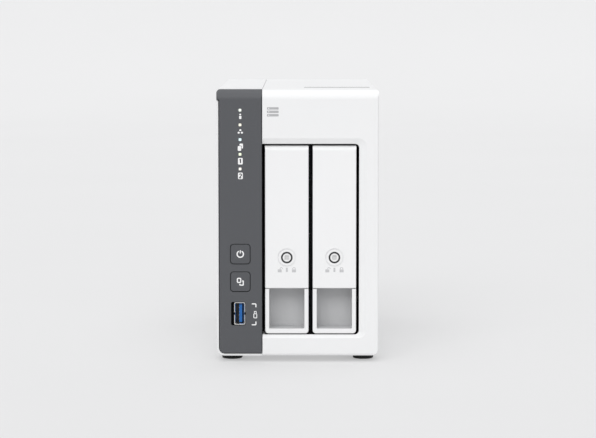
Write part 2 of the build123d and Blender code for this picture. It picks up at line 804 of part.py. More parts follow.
def memory_chips():
    """Two memory packages and one flash package on the main board."""
    half_y, half_z = memory_wide / 2, memory_tall / 2
    return group(
        block((main_board_right, main_board_right + memory_thick),
              (cpu_y + y - half_y, cpu_y + y + half_y), (cpu_z + z - half_z, cpu_z + z + half_z))
        for y, z in memory_places
    )


def board_connector():
    """Slot on the main board that takes the backplane's edge tab."""
    y = backplane_front + board_wall / 2
    body = block((main_board_right, main_board_right + connector_tall),
                 (y - connector_wide / 2, y + connector_wide / 2),
                 (bottom + tab_low - connector_end, bottom + tab_high + connector_end))
    slot = block((main_board_right + connector_tall - connector_slot - slot_clear,
                  main_board_right + connector_tall + 1),
                 (backplane_front - 0.1, backplane_front + board_wall + 0.1),
                 (bottom + tab_low - slot_clear, bottom + tab_high + slot_clear))
    return body - slot


def clock_battery():
    """Coin cell on the main board."""
    return rod_x(backplane_front - cell_before, bay_low + cell_rise, cell_radius,
                 main_board_right, main_board_right + cell_thick)


def lan_jacks():
    """Two network sockets, lying on their sides with the latch side inwards."""
    made = []
    x = main_board_right
    for rise in lan_rises:
        z = bottom + rise
        body = block((x, x + lan_tall), (port_face - lan_deep, port_face),
                     (z - lan_wide / 2, z + lan_wide / 2))
        hollow = block((x + 1.5, x + 8.6), (port_face - 14.0, port_face + 1), (z - 5.9, z + 5.9))
        latch = block((x + 8.5, x + 10.6), (port_face - 9.0, port_face + 1), (z - 3.1, z + 3.1))
        nib = block((x + 10.5, x + 11.9), (port_face - 6.0, port_face + 1), (z - 1.6, z + 1.6))
        made.append(body - hollow - latch - nib)
    return group(made)


def lan_contacts():
    """Eight spring contacts in each network socket."""
    x = main_board_right + 1.5
    made = []
    for rise in lan_rises:
        for i in range(8):
            z = bottom + rise + (i - 3.5) * 1.02
            side = Polyline((port_face - 13.9, x), (port_face - 4.0, x), (port_face - 3.6, x + 0.4),
                            (port_face - 10.0, x + 2.0), (port_face - 13.9, x + 2.2), close=True)
            blade = Plane((0, 0, z - 0.2), x_dir=(0, 1, 0), z_dir=(0, 0, -1)) * make_face(side)
            made.append(extrude(blade, amount=-0.4))
    return group(made)


def usb_shell():
    """Stamped sleeve of a USB socket, open towards -Y at y = 0, its long side upright."""
    outer = RectangleRounded(usb_wide, usb_long, 0.7)
    inner = RectangleRounded(usb_wide - 2 * usb_sheet, usb_long - 2 * usb_sheet, 0.4)
    tube = along_y(outer - inner, usb_lip_depth, usb_deep)
    mouth = []
    for clear, corner in ((0.0, 1.0), (-usb_sheet, 0.7)):
        wide = RectangleRounded(usb_wide + 2 * (usb_lip + clear), usb_long + 2 * (usb_lip + clear), corner)
        narrow = RectangleRounded(usb_wide + 2 * clear, usb_long + 2 * clear, 0.7 + clear * 0.8)
        near = Plane.XZ * wide
        far = Plane.XZ.offset(-usb_lip_depth) * narrow
        mouth.append(loft(Sketch() + [near, far]))
    flare = mouth[0] - mouth[1]
    for side in (-1, 1):
        edge = side * (usb_wide / 2 + 0.02)
        flare = flare - block(sorted((edge, edge + side * 2 * usb_lip)), (-1, usb_lip_depth + 1),
                              (-usb_notch / 2, usb_notch / 2))
    return tube + flare


def usb_insert():
    """Insulator of a USB socket: a plug at the back and the tongue that carries the contacts."""
    gap = usb_sheet + 0.05
    rear = along_y(RectangleRounded(usb_wide - 2 * gap, usb_long - 2 * gap, 0.3), usb_deep - 3.0, usb_deep)
    tongue = block((usb_tongue_shift - usb_tongue / 2, usb_tongue_shift + usb_tongue / 2),
                   (1.6, usb_deep - 2.0), (-5.6, 5.6))
    return rear + tongue


def rear_usb(part):
    """A part of both rear USB sockets, turned to face the back."""
    return group(
        Location((rear_usb_x(), port_face, bottom + rise)) * Rot(0, 0, 180) * part()
        for rise in usb_rises
    )


def front_usb(part):
    return Location((front_usb_x, front + front_usb_setback, front_usb_z)) * part()


def dc_jack():
    """Barrel power inlet with its centre pin."""
    x, z = dc_x(), bottom + dc_rise
    body = block((main_board_right, main_board_right + 11.0), (rear_front - 12.5, rear_front - 0.2),
                 (z - 4.5, z + 4.5))
    nose = rod_y(x, z, 4.0, rear_front - 1.0, port_face - 0.6)
    bore = rod_y(x, z, 3.1, rear_front - 8.0, port_face + 1)
    pin = rod_y(x, z, 1.2, rear_front - 9.0, port_face - 2.4)
    return body + nose - bore + pin


# ================================================================ front board, buttons and lights
def front_board():
    """Narrow board behind the control panel."""
    x = (left + cover_wall + fit_gap + tongue_wall + 0.4, bay_left - cage_wall - 0.8)
    y = (front_board_front, front_board_front + board_wall)
    body = block(x, y, (bottom + 9.0, top - lip_top_drop - 2.5))
    for x0, z0 in front_board_holes():
        body = body - rod_y(x0, z0, screw_radius - 0.1, y[0] - 1, y[1] + 1)
    return body


def tact_switches():
    """Switch bodies behind the power, copy and reset buttons."""
    made = []
    half = switch_size / 2
    for z in (power_z, copy_z):
        body = block((control_x - half, control_x + half),
                     (front_board_front - switch_deep, front_board_front), (z - half, z + half))
        made.append(body - rod_y(control_x, z, plunger_radius + 0.1,
                                 front_board_front - switch_deep - 1, front_board_front - 0.6))
    z = bottom + reset_rise
    body = block((main_board_right, reset_x() + half), (rear_front - 9.5, rear_front - 5.0),
                 (z - half, z + half))
    made.append(body - rod_y(reset_x(), z, 1.3, rear_front - 8.8, rear_front))
    return group(made)


def push_button(z):
    """Square cap with a flange behind the panel and a stem to its switch."""
    cap = along_y(upright(control_x, z, button_size, button_size, button_corner),
                  front + 0.1, button_flange_front + 0.5)
    cap = fillet(cap.edges().group_by(Axis.Y)[0], 0.35)
    size = button_size + 2 * (button_gap + 0.7)
    rim = along_y(upright(control_x, z, size, size, button_corner + 1.0),
                  button_flange_front, button_flange_front + 1.2)
    stem = rod_y(control_x, z, 2.2, button_flange_front + 1.0,
                 front_board_front - switch_deep - plunger_out)
    return cap + rim + stem


def switch_plunger(z):
    start = front_board_front - switch_deep - plunger_out
    return rod_y(control_x, z, plunger_radius, start, front_board_front - 1.6)


def reset_button():
    """Recessed reset plunger, reached with a pin through the rear panel."""
    z = bottom + reset_rise
    return rod_y(reset_x(), z, 1.2, rear_front - 8.0, rear_front - 2.0)


def light_pipes():
    """Clear moulding that carries the status lights to the panel's face."""
    pipes = [
        along_y(upright(control_x, z, led_size, led_size, 0.4), front + 0.05, front_board_front - 1.2)
        for z in led_heights
    ]
    bar = block((control_x - 3.0, control_x + 3.0), (front + front_wall + 0.2, front + front_wall + 2.0),
                (led_heights[-1] - 3.5, led_heights[0] + 3.5))
    return join([bar, *pipes])


def status_leds():
    return group(
        block((control_x - 0.8, control_x + 0.8), (front_board_front - 0.8, front_board_front),
              (z - 0.8, z + 0.8))
        for z in led_heights
    )


def fan_lead():
    """Fan cable, from the housing's rear flange round one bend to its plug on the main board."""
    x, z = main_board_right + 4.5, fan_z + fan_size / 2 - 2.0
    start = (fan_x - fan_size / 2, fan_back - 2.0, z)
    plug_back = fan_front - 12.0
    bend = start[0] - x - 0.6
    route = FilletPolyline(start, (x, start[1], z), (x, plug_back, z), radius=bend)
    cable = sweep(Plane(origin=route @ 0, z_dir=route % 0) * Circle(lead_radius), path=route)
    return cable + block((main_board_right, x + 3.0), (plug_back - 7.0, plug_back), (z - 5.0, z + 5.0))


# ================================================================ trays
head_lap, head_corner = 8.0, 1.0  # the head reaches below the lever's lower edge
head_side_wall, head_front_wall, head_floor, head_ceiling = 1.6, 2.2, 3.0, 9.0
grip_corner, knuckle_side, arm_over = 0.6, 0.4, 0.8
rail_left_wall, rail_right_wall, rail_head = 2.0, 3.0, 4.0
clip_hole_clear = 0.5


def face_limits(centre):
    """Left and right edges of a tray's grip and lever."""
    half = tray_width / 2 - face_inset
    return centre - half, centre + half


def tray_frame(centre):
    """Carrier moulding: grip, head, hinge knuckle, two rails and a thin side wall."""
    high_x = centre + tray_width / 2
    face = face_limits(centre)
    grip = along_y(frame_rect(*face, tray_low, lever_low + 2 * tray_corner, tray_corner),
                   tray_face, head_back)
    rim = grip.edges().group_by(Axis.Y)[0]
    grip = fillet(rim, edge_round)
    grip = grip & block(face, (front, back), (tray_low, lever_low - lever_gap))
    head = along_y(frame_rect(*face, lever_low - head_lap, tray_high, head_corner), head_wall_y, head_back)
    body = grip + head
    hollow = block((face[0] + head_side_wall, face[1] - head_side_wall),
                   (head_wall_y + head_front_wall, head_back + 1),
                   (lever_low + grip_reach + head_floor, tray_high - head_ceiling))
    body = body - hollow
    recess = frame_rect(face[0] + grip_side, face[1] - grip_side, tray_low + grip_rail,
                        lever_low + grip_reach, grip_corner)
    body = body - along_y(recess, tray_face - 1, tray_face + grip_depth)
    inner = (face[0] + lever_cheek + knuckle_side, face[1] - lever_cheek - knuckle_side)
    arm = block(inner, (pivot_y, head_wall_y + 1), (pivot_z - knuckle_radius, pivot_z + arm_over))
    knuckle = rod_x(pivot_y, pivot_z, knuckle_radius, *inner)
    body = body + arm + knuckle
    body = body - rod_x(pivot_y, pivot_z, lever_pin_radius, *face)
    drive_x = centre + drive_offset
    rail_left, rail_back = drive_x - drive_thick / 2, drive_back - rail_short
    wall_left = high_x - side_wall
    for level, side in ((drive_high + drive_clear, 1), (drive_low - drive_clear, -1)):
        edge = rail_high if side > 0 else rail_low
        rail = block((rail_left, high_x), (head_back - 1, rail_back), sorted((level, edge)))
        channel = block((rail_left + rail_left_wall, high_x - rail_right_wall),
                        (head_back + rail_head, rail_back + 1),
                        sorted((level + side * rail_web, edge + side)))
        rail = rail - channel
        for row in drive_hole_rows:
            rail = rail - rod_z(drive_x, drive_back - row, clip_pin_radius + clip_hole_clear,
                                *sorted((level - side, level + side * (rail_web + 0.1))))
        body = body + rail
    wall = block((wall_left, high_x), (head_back - 1, rail_back),
                 (drive_low - drive_clear - 0.5, drive_high + drive_clear + 0.5))
    return body + (wall - along_x(tray_windows(), wall_left - 1, high_x + 1))


tray_window, tray_window_corner, tray_window_first = 26.0, 2.5, 22.0
tray_web_y, tray_web_z = 6.0, 5.0


def tray_windows():
    """Air windows in the tray's side wall, in Y and Z."""
    step_y, step_z = tray_window + tray_web_y, tray_window + tray_web_z
    window = RectangleRounded(tray_window, tray_window, tray_window_corner)
    return Sketch() + [
        Pos(drive_front + tray_window_first + step_y * i, tray_middle_z + step_z * (j - 1)) * window
        for i in range(4)
        for j in range(3)
    ]


lever_corner = 0.5
rib_wall, rib_deep, rib_below_lock, rib_over_lock = 1.2, 5.0, 9.0, 12.0
lock_deep, ring_deep, ring_wide = 6.0, 0.6, 0.6
cam_long, cam_wide, cam_wall, cam_shift = 9.0, 4.0, 1.4, 2.4


def lever(centre):
    """Front handle of a tray, hinged at its top, with the lock's boss on its back."""
    low_x, high_x = face_limits(centre)
    inner = (low_x + lever_cheek, high_x - lever_cheek)
    body = along_y(frame_rect(low_x, high_x, lever_low, tray_high, lever_corner), tray_face,
                   tray_face + lever_depth)
    rim = [e for e in body.edges().group_by(Axis.Y)[0] if e.center().Z < tray_high - 1]
    body = fillet(rim, edge_round)
    side = Pos(tray_face + lever_depth / 2, (lever_low + tray_high) / 2) * Rectangle(
        lever_depth, tray_high - lever_low)
    ends = side.vertices().sort_by(Axis.Y)[-2:].sort_by(Axis.X)
    side = fillet(ends[0], lever_top_round)
    side = fillet(side.vertices().sort_by(Axis.X)[-2:].sort_by(Axis.Y)[-1], pivot_depth - 0.01)
    body = body & along_x(side, low_x - 1, high_x + 1)
    clear = knuckle_radius + knuckle_gap
    deep = tray_face + lever_depth + 1
    hollow = block(inner, (tray_face + lever_skin, deep), (lever_low + lever_foot, pivot_z))
    hollow = hollow + rod_x(pivot_y, pivot_z, clear, *inner)
    hollow = hollow + block(inner, (pivot_y, deep), (pivot_z, tray_high + 1))
    body = body - hollow
    for z in (lock_z - rib_below_lock, lock_z + rib_over_lock, (lock_z + pivot_z) / 2 + 6.0):
        body = body + block((inner[0] - 0.5, inner[1] + 0.5), (tray_face + 1.0, tray_face + rib_deep),
                            (z - rib_wall / 2, z + rib_wall / 2))
    body = body + rod_y(centre, lock_z, lock_boss, tray_face + 1.0, tray_face + lock_deep)
    body = body - rod_y(centre, lock_z, lock_collar, tray_face - 1, tray_face + lock_deep + 1)
    ring = along_y(Pos(centre, lock_z) * (Circle(lock_boss + ring_wide / 2) - Circle(lock_boss - ring_wide / 2)),
                   tray_face - 1, tray_face + ring_deep)
    body = body - ring
    return body - rod_x(pivot_y, pivot_z, lever_pin_radius + pin_clear, low_x - 1, high_x + 1)


pin_short = 0.3  # the pin ends inside the lever's cheeks


def lever_pin(centre):
    low_x, high_x = face_limits(centre)
    return rod_x(pivot_y, pivot_z, lever_pin_radius, low_x + pin_short, high_x - pin_short)


def lock_collar_ring(centre):
    """Dark collar round the lock barrel, fixed in the lever."""
    ring = Circle(lock_collar) - Circle(lock_barrel + pin_clear)
    return along_y(Pos(centre, lock_z) * ring, tray_face - 0.1, tray_face + lock_deep)


def lock_barrel_part(centre):
    """Quarter-turn barrel with a square key socket and the cam behind it."""
    cam_front = tray_face + lock_deep + 0.2
    body = rod_y(centre, lock_z, lock_barrel, tray_face - 0.05, cam_front)
    socket = along_y(upright(centre, lock_z, lock_key, lock_key, lock_key_corner),
                     tray_face - 1, tray_face + lock_key_deep)
    cam = along_y(Pos(centre, lock_z + cam_shift) * SlotOverall(cam_long, cam_wide, rotation=90),
                  cam_front, cam_front + cam_wall)
    return body - socket + cam


def drive_clips(centre):
    """Snap-in strips in the two rails, whose pins enter the drive's side holes."""
    drive_x = centre + drive_offset
    made = []
    for face, side in ((drive_high + drive_clear, 1), (drive_low - drive_clear, -1)):
        seat = face + side * rail_web
        strip = block((drive_x - 5.5, drive_x + 5.5),
                      (drive_back - drive_hole_rows[-1] - 7.0, drive_back - drive_hole_rows[0] + 7.0),
                      sorted((seat, seat + side * clip_wall)))
        for row in drive_hole_rows:
            pin_end = face - side * (drive_clear + drive_hole_depth - 0.6)
            strip = strip + rod_z(drive_x, drive_back - row, clip_pin_radius,
                                  *sorted((seat + side * 0.5, pin_end)))
        made.append(strip)
    return group(made)


def drive_limits(centre):
    x = centre + drive_offset
    return x - drive_thick / 2, x + drive_thick / 2


def drive_body(centre):
    """Cast base of a 3.5 inch hard drive."""
    low_x, high_x = drive_limits(centre)
    plan = Pos((drive_front + drive_back) / 2, tray_middle_z) * RectangleRounded(
        drive_long, drive_tall, 3.0)
    body = along_x(plan, low_x + drive_lid, high_x)
    pocket = Pos(drive_back - 38.0, tray_middle_z - 14.0) * RectangleRounded(68.0, 66.0, 3.0)
    body = body - along_x(pocket, high_x - drive_board_pocket, high_x + 1)
    spindle = rod_x(drive_front + 52.0, tray_middle_z, 14.0, high_x - 1.2, high_x + 1)
    body = body - spindle
    chamber = rod_x(drive_front + 60.0, tray_middle_z, drive_chamber_radius, low_x, low_x + drive_chamber_depth)
    body = body - chamber
    x, z = plug_place(centre)
    body = body - block((x - 3.2, high_x + 1), (drive_back - plug_depth - 0.6, drive_back + 1),
                        (z - socket_long / 2 - 0.8, z + socket_long / 2 + 0.8))
    body = body - block((x - plug_wall / 2 - 0.3, high_x + 1), (plug_root - 3.3, drive_back),
                        (z - plug_long / 2 - 0.3, z + plug_long / 2 + 0.3))
    for row in drive_hole_rows:
        for face, side in ((drive_high, -1), (drive_low, 1)):
            body = body - rod_z(centre + drive_offset, drive_back - row, drive_hole_radius,
                                *sorted((face - side, face + side * drive_hole_depth)))
    return body


def drive_cover(centre):
    """Pressed steel lid of the drive, with its raised middle."""
    low_x, _ = drive_limits(centre)
    plan = Pos((drive_front + drive_back) / 2, tray_middle_z) * RectangleRounded(
        drive_long - 1.0, drive_tall - 1.0, 5.0)
    sheet = along_x(plan, low_x + 0.35, low_x + drive_lid)
    raised = Pos(drive_front + 60.0, tray_middle_z) * Circle(44.0)
    raised = raised + Pos(drive_back - 40.0, tray_middle_z - 4.0) * RectangleRounded(60.0, 70.0, 8.0)
    return sheet + along_x(raised, low_x, low_x + 0.5)


def drive_board(centre):
    """Drive electronics in the base's pocket, with the connector tongue at the rear."""
    _, high_x = drive_limits(centre)
    plan = Pos(drive_back - 38.0, tray_middle_z - 14.0) * RectangleRounded(66.0, 64.0, 2.5)
    face = high_x - drive_board_pocket + 0.6
    board = along_x(plan, face, face + drive_board_wall)
    x, z = plug_place(centre)
    span = (z - plug_long / 2, z + plug_long / 2)
    neck = block((x - plug_wall / 2, face + drive_board_wall), (plug_root - 3.0, plug_root), span)
    tongue = block((x - plug_wall / 2, x + plug_wall / 2), (plug_root - 0.5, drive_back - 0.4), span)
    return board + neck + tongue


# ================================================================ all nodes
def all_nodes():
    nodes = {
        "left_cover": left_cover(),
        "right_cover": right_cover(),
        "feet": feet(),
        "control_panel": control_panel(),
        "front_bezel": front_bezel(),
        "bay_liner": bay_liner(),
        "drive_cage": drive_cage(),
        "tray_guides": tray_guides(),
        "sata_sockets": sata_sockets(),
        "backplane_board": backplane_board(),
        "backplane_screws": backplane_screws(),
        "cage_screws": cage_screws(),
        "rear_panel": rear_panel(),
        "rear_panel_screws": rear_panel_screws(),
        "fan_screws": fan_screws(),
        "fan_frame": fan_frame(),
        "fan_rotor": fan_rotor(),
        "fan_lead": fan_lead(),
        "main_board": main_board(),
        "board_standoffs": board_standoffs(),
        "board_screws": board_screws(),
        "processor": processor(),
        "heatsink": heatsink(),
        "memory_chips": memory_chips(),
        "board_connector": board_connector(),
        "clock_battery": clock_battery(),
        "lan_jacks": lan_jacks(),
        "lan_contacts": lan_contacts(),
        "rear_usb_shells": rear_usb(usb_shell),
        "rear_usb_inserts": rear_usb(usb_insert),
        "dc_jack": dc_jack(),
        "front_usb_shell": front_usb(usb_shell),
        "front_usb_insert": front_usb(usb_insert),
        "front_board": front_board(),
        "tact_switches": tact_switches(),
        "power_button": push_button(power_z),
        "power_switch_plunger": switch_plunger(power_z),
        "copy_button": push_button(copy_z),
        "copy_switch_plunger": switch_plunger(copy_z),
        "reset_button": reset_button(),
        "light_pipes": light_pipes(),
        "status_leds": status_leds(),
    }
    tray_parts = {
        "frame": tray_frame,
        "lever": lever,
        "lever_pin": lever_pin,
        "lock_collar": lock_collar_ring,
        "lock_barrel": lock_barrel_part,
        "drive_clips": drive_clips,
        "drive_body": drive_body,
        "drive_cover": drive_cover,
        "drive_board": drive_board,
    }
    for number, centre in enumerate(tray_centres, start=1):
        for name, make in tray_parts.items():
            nodes[f"tray_{number}_{name}"] = make(centre)
    return nodes


os.makedirs("parts", exist_ok=True)
for node, shape in all_nodes().items():
    export_step(shape, f"parts/{node}.step")
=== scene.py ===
import math

import bpy
import numpy as np
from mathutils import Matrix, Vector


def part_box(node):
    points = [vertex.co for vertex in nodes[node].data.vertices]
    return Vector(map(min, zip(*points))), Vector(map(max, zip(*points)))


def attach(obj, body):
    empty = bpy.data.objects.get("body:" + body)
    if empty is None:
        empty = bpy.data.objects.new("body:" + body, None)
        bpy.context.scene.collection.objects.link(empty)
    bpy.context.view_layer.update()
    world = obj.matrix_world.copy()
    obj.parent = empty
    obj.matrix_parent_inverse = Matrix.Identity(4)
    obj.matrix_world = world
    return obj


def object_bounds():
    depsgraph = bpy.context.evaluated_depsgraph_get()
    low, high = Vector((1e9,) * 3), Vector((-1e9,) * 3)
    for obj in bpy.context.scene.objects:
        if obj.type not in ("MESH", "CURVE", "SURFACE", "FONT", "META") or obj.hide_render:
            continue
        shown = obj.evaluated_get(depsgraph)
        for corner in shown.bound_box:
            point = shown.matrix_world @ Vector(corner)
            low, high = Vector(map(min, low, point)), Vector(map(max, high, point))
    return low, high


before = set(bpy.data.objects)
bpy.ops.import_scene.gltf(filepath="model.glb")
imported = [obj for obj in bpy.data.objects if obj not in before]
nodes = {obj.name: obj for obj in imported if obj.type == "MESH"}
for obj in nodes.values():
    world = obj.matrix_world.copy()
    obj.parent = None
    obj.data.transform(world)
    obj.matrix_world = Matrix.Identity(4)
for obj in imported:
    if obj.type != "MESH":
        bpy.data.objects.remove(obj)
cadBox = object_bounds()
mm = 0.001

# the case's corners come from the frame, and so does every node's box below
caseLow, caseHigh = cadBox
frontY = caseLow.y
print("frame loaded:", len(nodes), "nodes")


# shader building: a wire is one output socket, and arithmetic on it adds Math nodes

class Wire:
    def __init__(self, finish, socket):
        self.finish, self.socket = finish, socket

    def math(self, operation, *others):
        return self.finish.calculate(operation, self, *others)

    def __add__(self, other):
        return self.math("ADD", other)

    def __sub__(self, other):
        return self.math("SUBTRACT", other)

    def __mul__(self, other):
        return self.math("MULTIPLY", other)

    def __truediv__(self, other):
        return self.math("DIVIDE", other)

    def __pow__(self, other):
        return self.math("POWER", other)

    def __radd__(self, other):
        return self.math("ADD", other)

    def __rsub__(self, other):
        return self.finish.calculate("SUBTRACT", other, self)

    def __rmul__(self, other):
        return self.math("MULTIPLY", other)

    def __rtruediv__(self, other):
        return self.finish.calculate("DIVIDE", other, self)

    def __abs__(self):
        return self.math("ABSOLUTE")

    def below(self, limit):
        return self.math("LESS_THAN", limit)

    def above(self, limit):
        return self.math("GREATER_THAN", limit)

    def least(self, other):
        return self.math("MINIMUM", other)

    def most(self, other):
        return self.math("MAXIMUM", other)

    def wave(self):
        return self.math("SINE")

    def fit(self, low, high, toLow=0.0, toHigh=1.0):
        # straight-line remap, held at both ends
        inputs = {"Value": self, "From Min": low, "From Max": high, "To Min": toLow, "To Max": toHigh}
        return self.finish.add("ShaderNodeMapRange", {"clamp": True}, inputs)


class Finish:
    def __init__(self, name):
        self.material = bpy.data.materials.new(name)
        self.material.use_nodes = True
        self.tree = self.material.node_tree
        self.shader = self.tree.nodes["Principled BSDF"]

    def add(self, kind, settings=None, inputs=None, output=0):
        node = self.tree.nodes.new(kind)
        for key, value in (settings or {}).items():
            setattr(node, key, value)
        for key, value in (inputs or {}).items():
            self.feed(node.inputs[key], value)
        return Wire(self, node.outputs[output])

    def feed(self, socket, value):
        if isinstance(value, Wire):
            self.tree.links.new(value.socket, socket)
        elif isinstance(value, tuple) and len(value) == 3 and socket.type == "RGBA":
            socket.default_value = (*value, 1.0)
        else:
            socket.default_value = value

    def calculate(self, operation, *values):
        return self.add("ShaderNodeMath", {"operation": operation}, dict(enumerate(values)))

    def place(self):
        return self.add("ShaderNodeTexCoord", output="Object")

    def axes(self):
        node = self.add("ShaderNodeSeparateXYZ", None, {0: self.place()}).socket.node
        return [Wire(self, node.outputs[i]) for i in range(3)]

    def stretch(self, factors):
        return self.add("ShaderNodeVectorMath", {"operation": "MULTIPLY"}, {0: self.place(), 1: factors})

    def noise(self, scale, detail=2.0, vector=None, roughness=0.5):
        inputs = {"Vector": vector or self.place(), "Scale": scale, "Detail": detail,
                  "Roughness": roughness}
        return self.add("ShaderNodeTexNoise", None, inputs)

    def cells(self, scale):
        inputs = {"Vector": self.place(), "Scale": scale}
        return self.add("ShaderNodeTexVoronoi", {"feature": "F1"}, inputs, "Distance")

    def mix(self, mask, low, high):
        return self.add("ShaderNodeMix", {"data_type": "RGBA"}, {0: mask, 6: low, 7: high}, 2)

    def bump(self, height, distance, strength):
        inputs = {"Height": height, "Distance": distance, "Strength": strength}
        return self.add("ShaderNodeBump", None, inputs)

    def set(self, **sockets):
        names = {"colour": "Base Color", "roughness": "Roughness", "metallic": "Metallic",
                 "coat": "Coat Weight", "coatRoughness": "Coat Roughness", "specular": "Specular IOR Level",
                 "glow": "Emission Color", "glowStrength": "Emission Strength", "normal": "Normal"}
        for key, value in sockets.items():
            self.feed(self.shader.inputs[names[key]], value)
        return self.material


def shade(colour, factor):
    return tuple(min(1.0, part * factor) for part in colour)


def dress(material, *names):
    for name in names:
        nodes[name].data.materials.clear()
        nodes[name].data.materials.append(material)


# moulded plastics: a fine eroded grain, a slow drift in tone and gloss, and in some a darker colour painted
# into their recesses as shade

plastics = {
    "caseWhite": {"colour": (0.86, 0.862, 0.865), "roughness": 0.42,
                  "grain": 2400, "depth": 0.010, "specular": 0.35},
    # the tray's darker recess colour is painted shade in its finger recesses
    "trayWhite": {"colour": (0.875, 0.875, 0.878), "roughness": 0.36,
                  "grain": 2800, "depth": 0.007, "specular": 0.4,
                  "inner": (0.64, 0.643, 0.65)},
    "panelGrey": {"colour": (0.090, 0.093, 0.101), "roughness": 0.46,
                  "grain": 2200, "depth": 0.012, "specular": 0.35},
    "buttonGrey": {"colour": (0.085, 0.088, 0.096), "roughness": 0.4,
                   "grain": 2600, "depth": 0.008, "specular": 0.4},
    "blackNylon": {"colour": (0.010, 0.010, 0.011), "roughness": 0.55,
                   "grain": 1800, "depth": 0.014, "specular": 0.3},
    "switchBlack": {"colour": (0.018, 0.018, 0.02), "roughness": 0.38,
                    "grain": 3000, "depth": 0.006, "specular": 0.4},
    "linerBlack": {"colour": (0.0035, 0.0035, 0.004), "roughness": 0.8,
                   "grain": 1500, "depth": 0.014, "specular": 0.08},
    # the socket blue's darker recess colour is painted shade deep inside the sockets
    "socketBlue": {"colour": (0.006, 0.125, 0.43), "roughness": 0.32,
                   "grain": 3000, "depth": 0.005, "specular": 0.45,
                   "inner": (0.003, 0.007, 0.022)},
    # the lock's darker recess colour is painted shade on the floor of its key recess
    "lockWhite": {"colour": (0.84, 0.84, 0.84), "roughness": 0.33,
                  "grain": 3000, "depth": 0.005, "specular": 0.45,
                  "inner": (0.68, 0.68, 0.68)},
    "lockDark": {"colour": (0.022, 0.022, 0.024), "roughness": 0.4,
                 "grain": 2600, "depth": 0.008, "specular": 0.4},
}


def makePlastic(name, innerMask=None):
    # the mask makes a 0 to 1 wire from the axes, and the dictionary's darker recess colour, a painted shade,
    # shows where it is 1
    sizes = plastics[name]
    finish = Finish(name)
    drift = finish.noise(9.0, 2.0)
    fleck = finish.noise(sizes["grain"] * 0.6, 1.0)
    grain = finish.noise(sizes["grain"], 2.5, roughness=0.6)
    tone = drift * 0.7 + fleck * 0.3
    colour = finish.mix(tone, shade(sizes["colour"], 0.965), shade(sizes["colour"], 1.035))
    if innerMask:
        colour = finish.mix(innerMask(*finish.axes()), colour, sizes["inner"])
    rough = sizes["roughness"] + (drift - 0.5) * 0.10 + (fleck - 0.5) * 0.08
    relief = finish.bump(grain, sizes["depth"] * mm, 0.55)
    return finish.set(colour=colour, roughness=rough, specular=sizes["specular"], normal=relief)


gripShadeBox = {"half": 11.4 * mm, "from": 0.4 * mm, "full": 1.0 * mm, "back": 18.2 * mm, "top": 1.2 * mm}
socketShadeDepths = {"from": 1.6 * mm, "to": 40 * mm}
keyShadeDepth = 0.25 * mm


def gripShadeMask(x, y, z):
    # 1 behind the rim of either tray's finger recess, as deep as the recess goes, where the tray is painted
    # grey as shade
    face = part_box("tray_1_lever")[0].y
    middles = [(low.x + high.x) / 2 for low, high in (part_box(f"tray_{n}_lever") for n in (1, 2))]
    across = abs(x - middles[0]).least(abs(x - middles[1])).below(gripShadeBox["half"])
    depth, under = y - face, z.below(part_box("tray_1_lever")[0].z + gripShadeBox["top"])
    return depth.fit(gripShadeBox["from"], gripShadeBox["full"]) * depth.below(gripShadeBox["back"]) * across * under


def socketShadeMask(x, y, z):
    # 1 deeper than the tongues' ends, in the front sockets and the rear ones, where the blue is painted
    # near-black as shade
    front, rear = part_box("front_usb_insert")[0].y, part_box("rear_usb_inserts")[1].y
    inFront = y.above(front + socketShadeDepths["from"]) * y.below(front + socketShadeDepths["to"])
    return inFront.most(y.below(rear - socketShadeDepths["from"]) * y.above(rear - socketShadeDepths["to"]))


def keyShadeMask(x, y, z):
    # 1 on the floor of the lock's key recess, which is painted grey as shade
    return y.above(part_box("tray_1_lock_barrel")[0].y + keyShadeDepth)


caseWhite = makePlastic("caseWhite")
trayWhite = makePlastic("trayWhite", gripShadeMask)
leverWhite = makePlastic("trayWhite")
panelGrey = makePlastic("panelGrey")
buttonGrey = makePlastic("buttonGrey")
blackNylon = makePlastic("blackNylon")
linerBlack = makePlastic("linerBlack")
switchBlack = makePlastic("switchBlack")
socketBlue = makePlastic("socketBlue", socketShadeMask)
lockWhite = makePlastic("lockWhite", keyShadeMask)
lockDark = makePlastic("lockDark")
dress(caseWhite, "left_cover", "right_cover", "front_bezel")
dress(panelGrey, "control_panel")
dress(buttonGrey, "power_button", "copy_button")
dress(blackNylon, "tray_guides", "dc_jack", "board_connector", "reset_button")
dress(linerBlack, "bay_liner")
dress(switchBlack, "tact_switches", "power_switch_plunger", "copy_switch_plunger", "sata_sockets")
dress(socketBlue, "front_usb_insert", "rear_usb_inserts")
for number in (1, 2):
    dress(trayWhite, f"tray_{number}_frame")
    dress(leverWhite, f"tray_{number}_lever")
    dress(lockWhite, f"tray_{number}_lock_barrel")
    dress(lockDark, f"tray_{number}_lock_collar")
    dress(blackNylon, f"tray_{number}_drive_clips")
print("plastics done")


# rubber feet: soft black with a worn rim where they touch the desk

footRubber = {"colour": (0.016, 0.016, 0.016), "dust": (0.055, 0.053, 0.05), "wearHeight": 0.9 * mm}


def makeFootRubber():
    finish = Finish("footRubber")
    z = finish.axes()[2]
    speckle = finish.noise(900, 3.0)
    worn = z.below(footRubber["wearHeight"]) * speckle.fit(0.42, 0.62)
    colour = finish.mix(worn * 0.5, footRubber["colour"], footRubber["dust"])
    return finish.set(colour=colour, roughness=0.72 + speckle * 0.18, specular=0.3,
                      normal=finish.bump(speckle, 0.03 * mm, 0.5))


dress(makeFootRubber(), "feet")


# powder coat: an orange-peel skin over sheet steel

coats = {
    "blackCoat": {"colour": (0.022, 0.022, 0.024), "roughness": 0.42, "peel": 1100, "depth": 0.020},
    "rearCoat": {"colour": (0.74, 0.74, 0.73), "roughness": 0.44, "peel": 1000, "depth": 0.018},
}


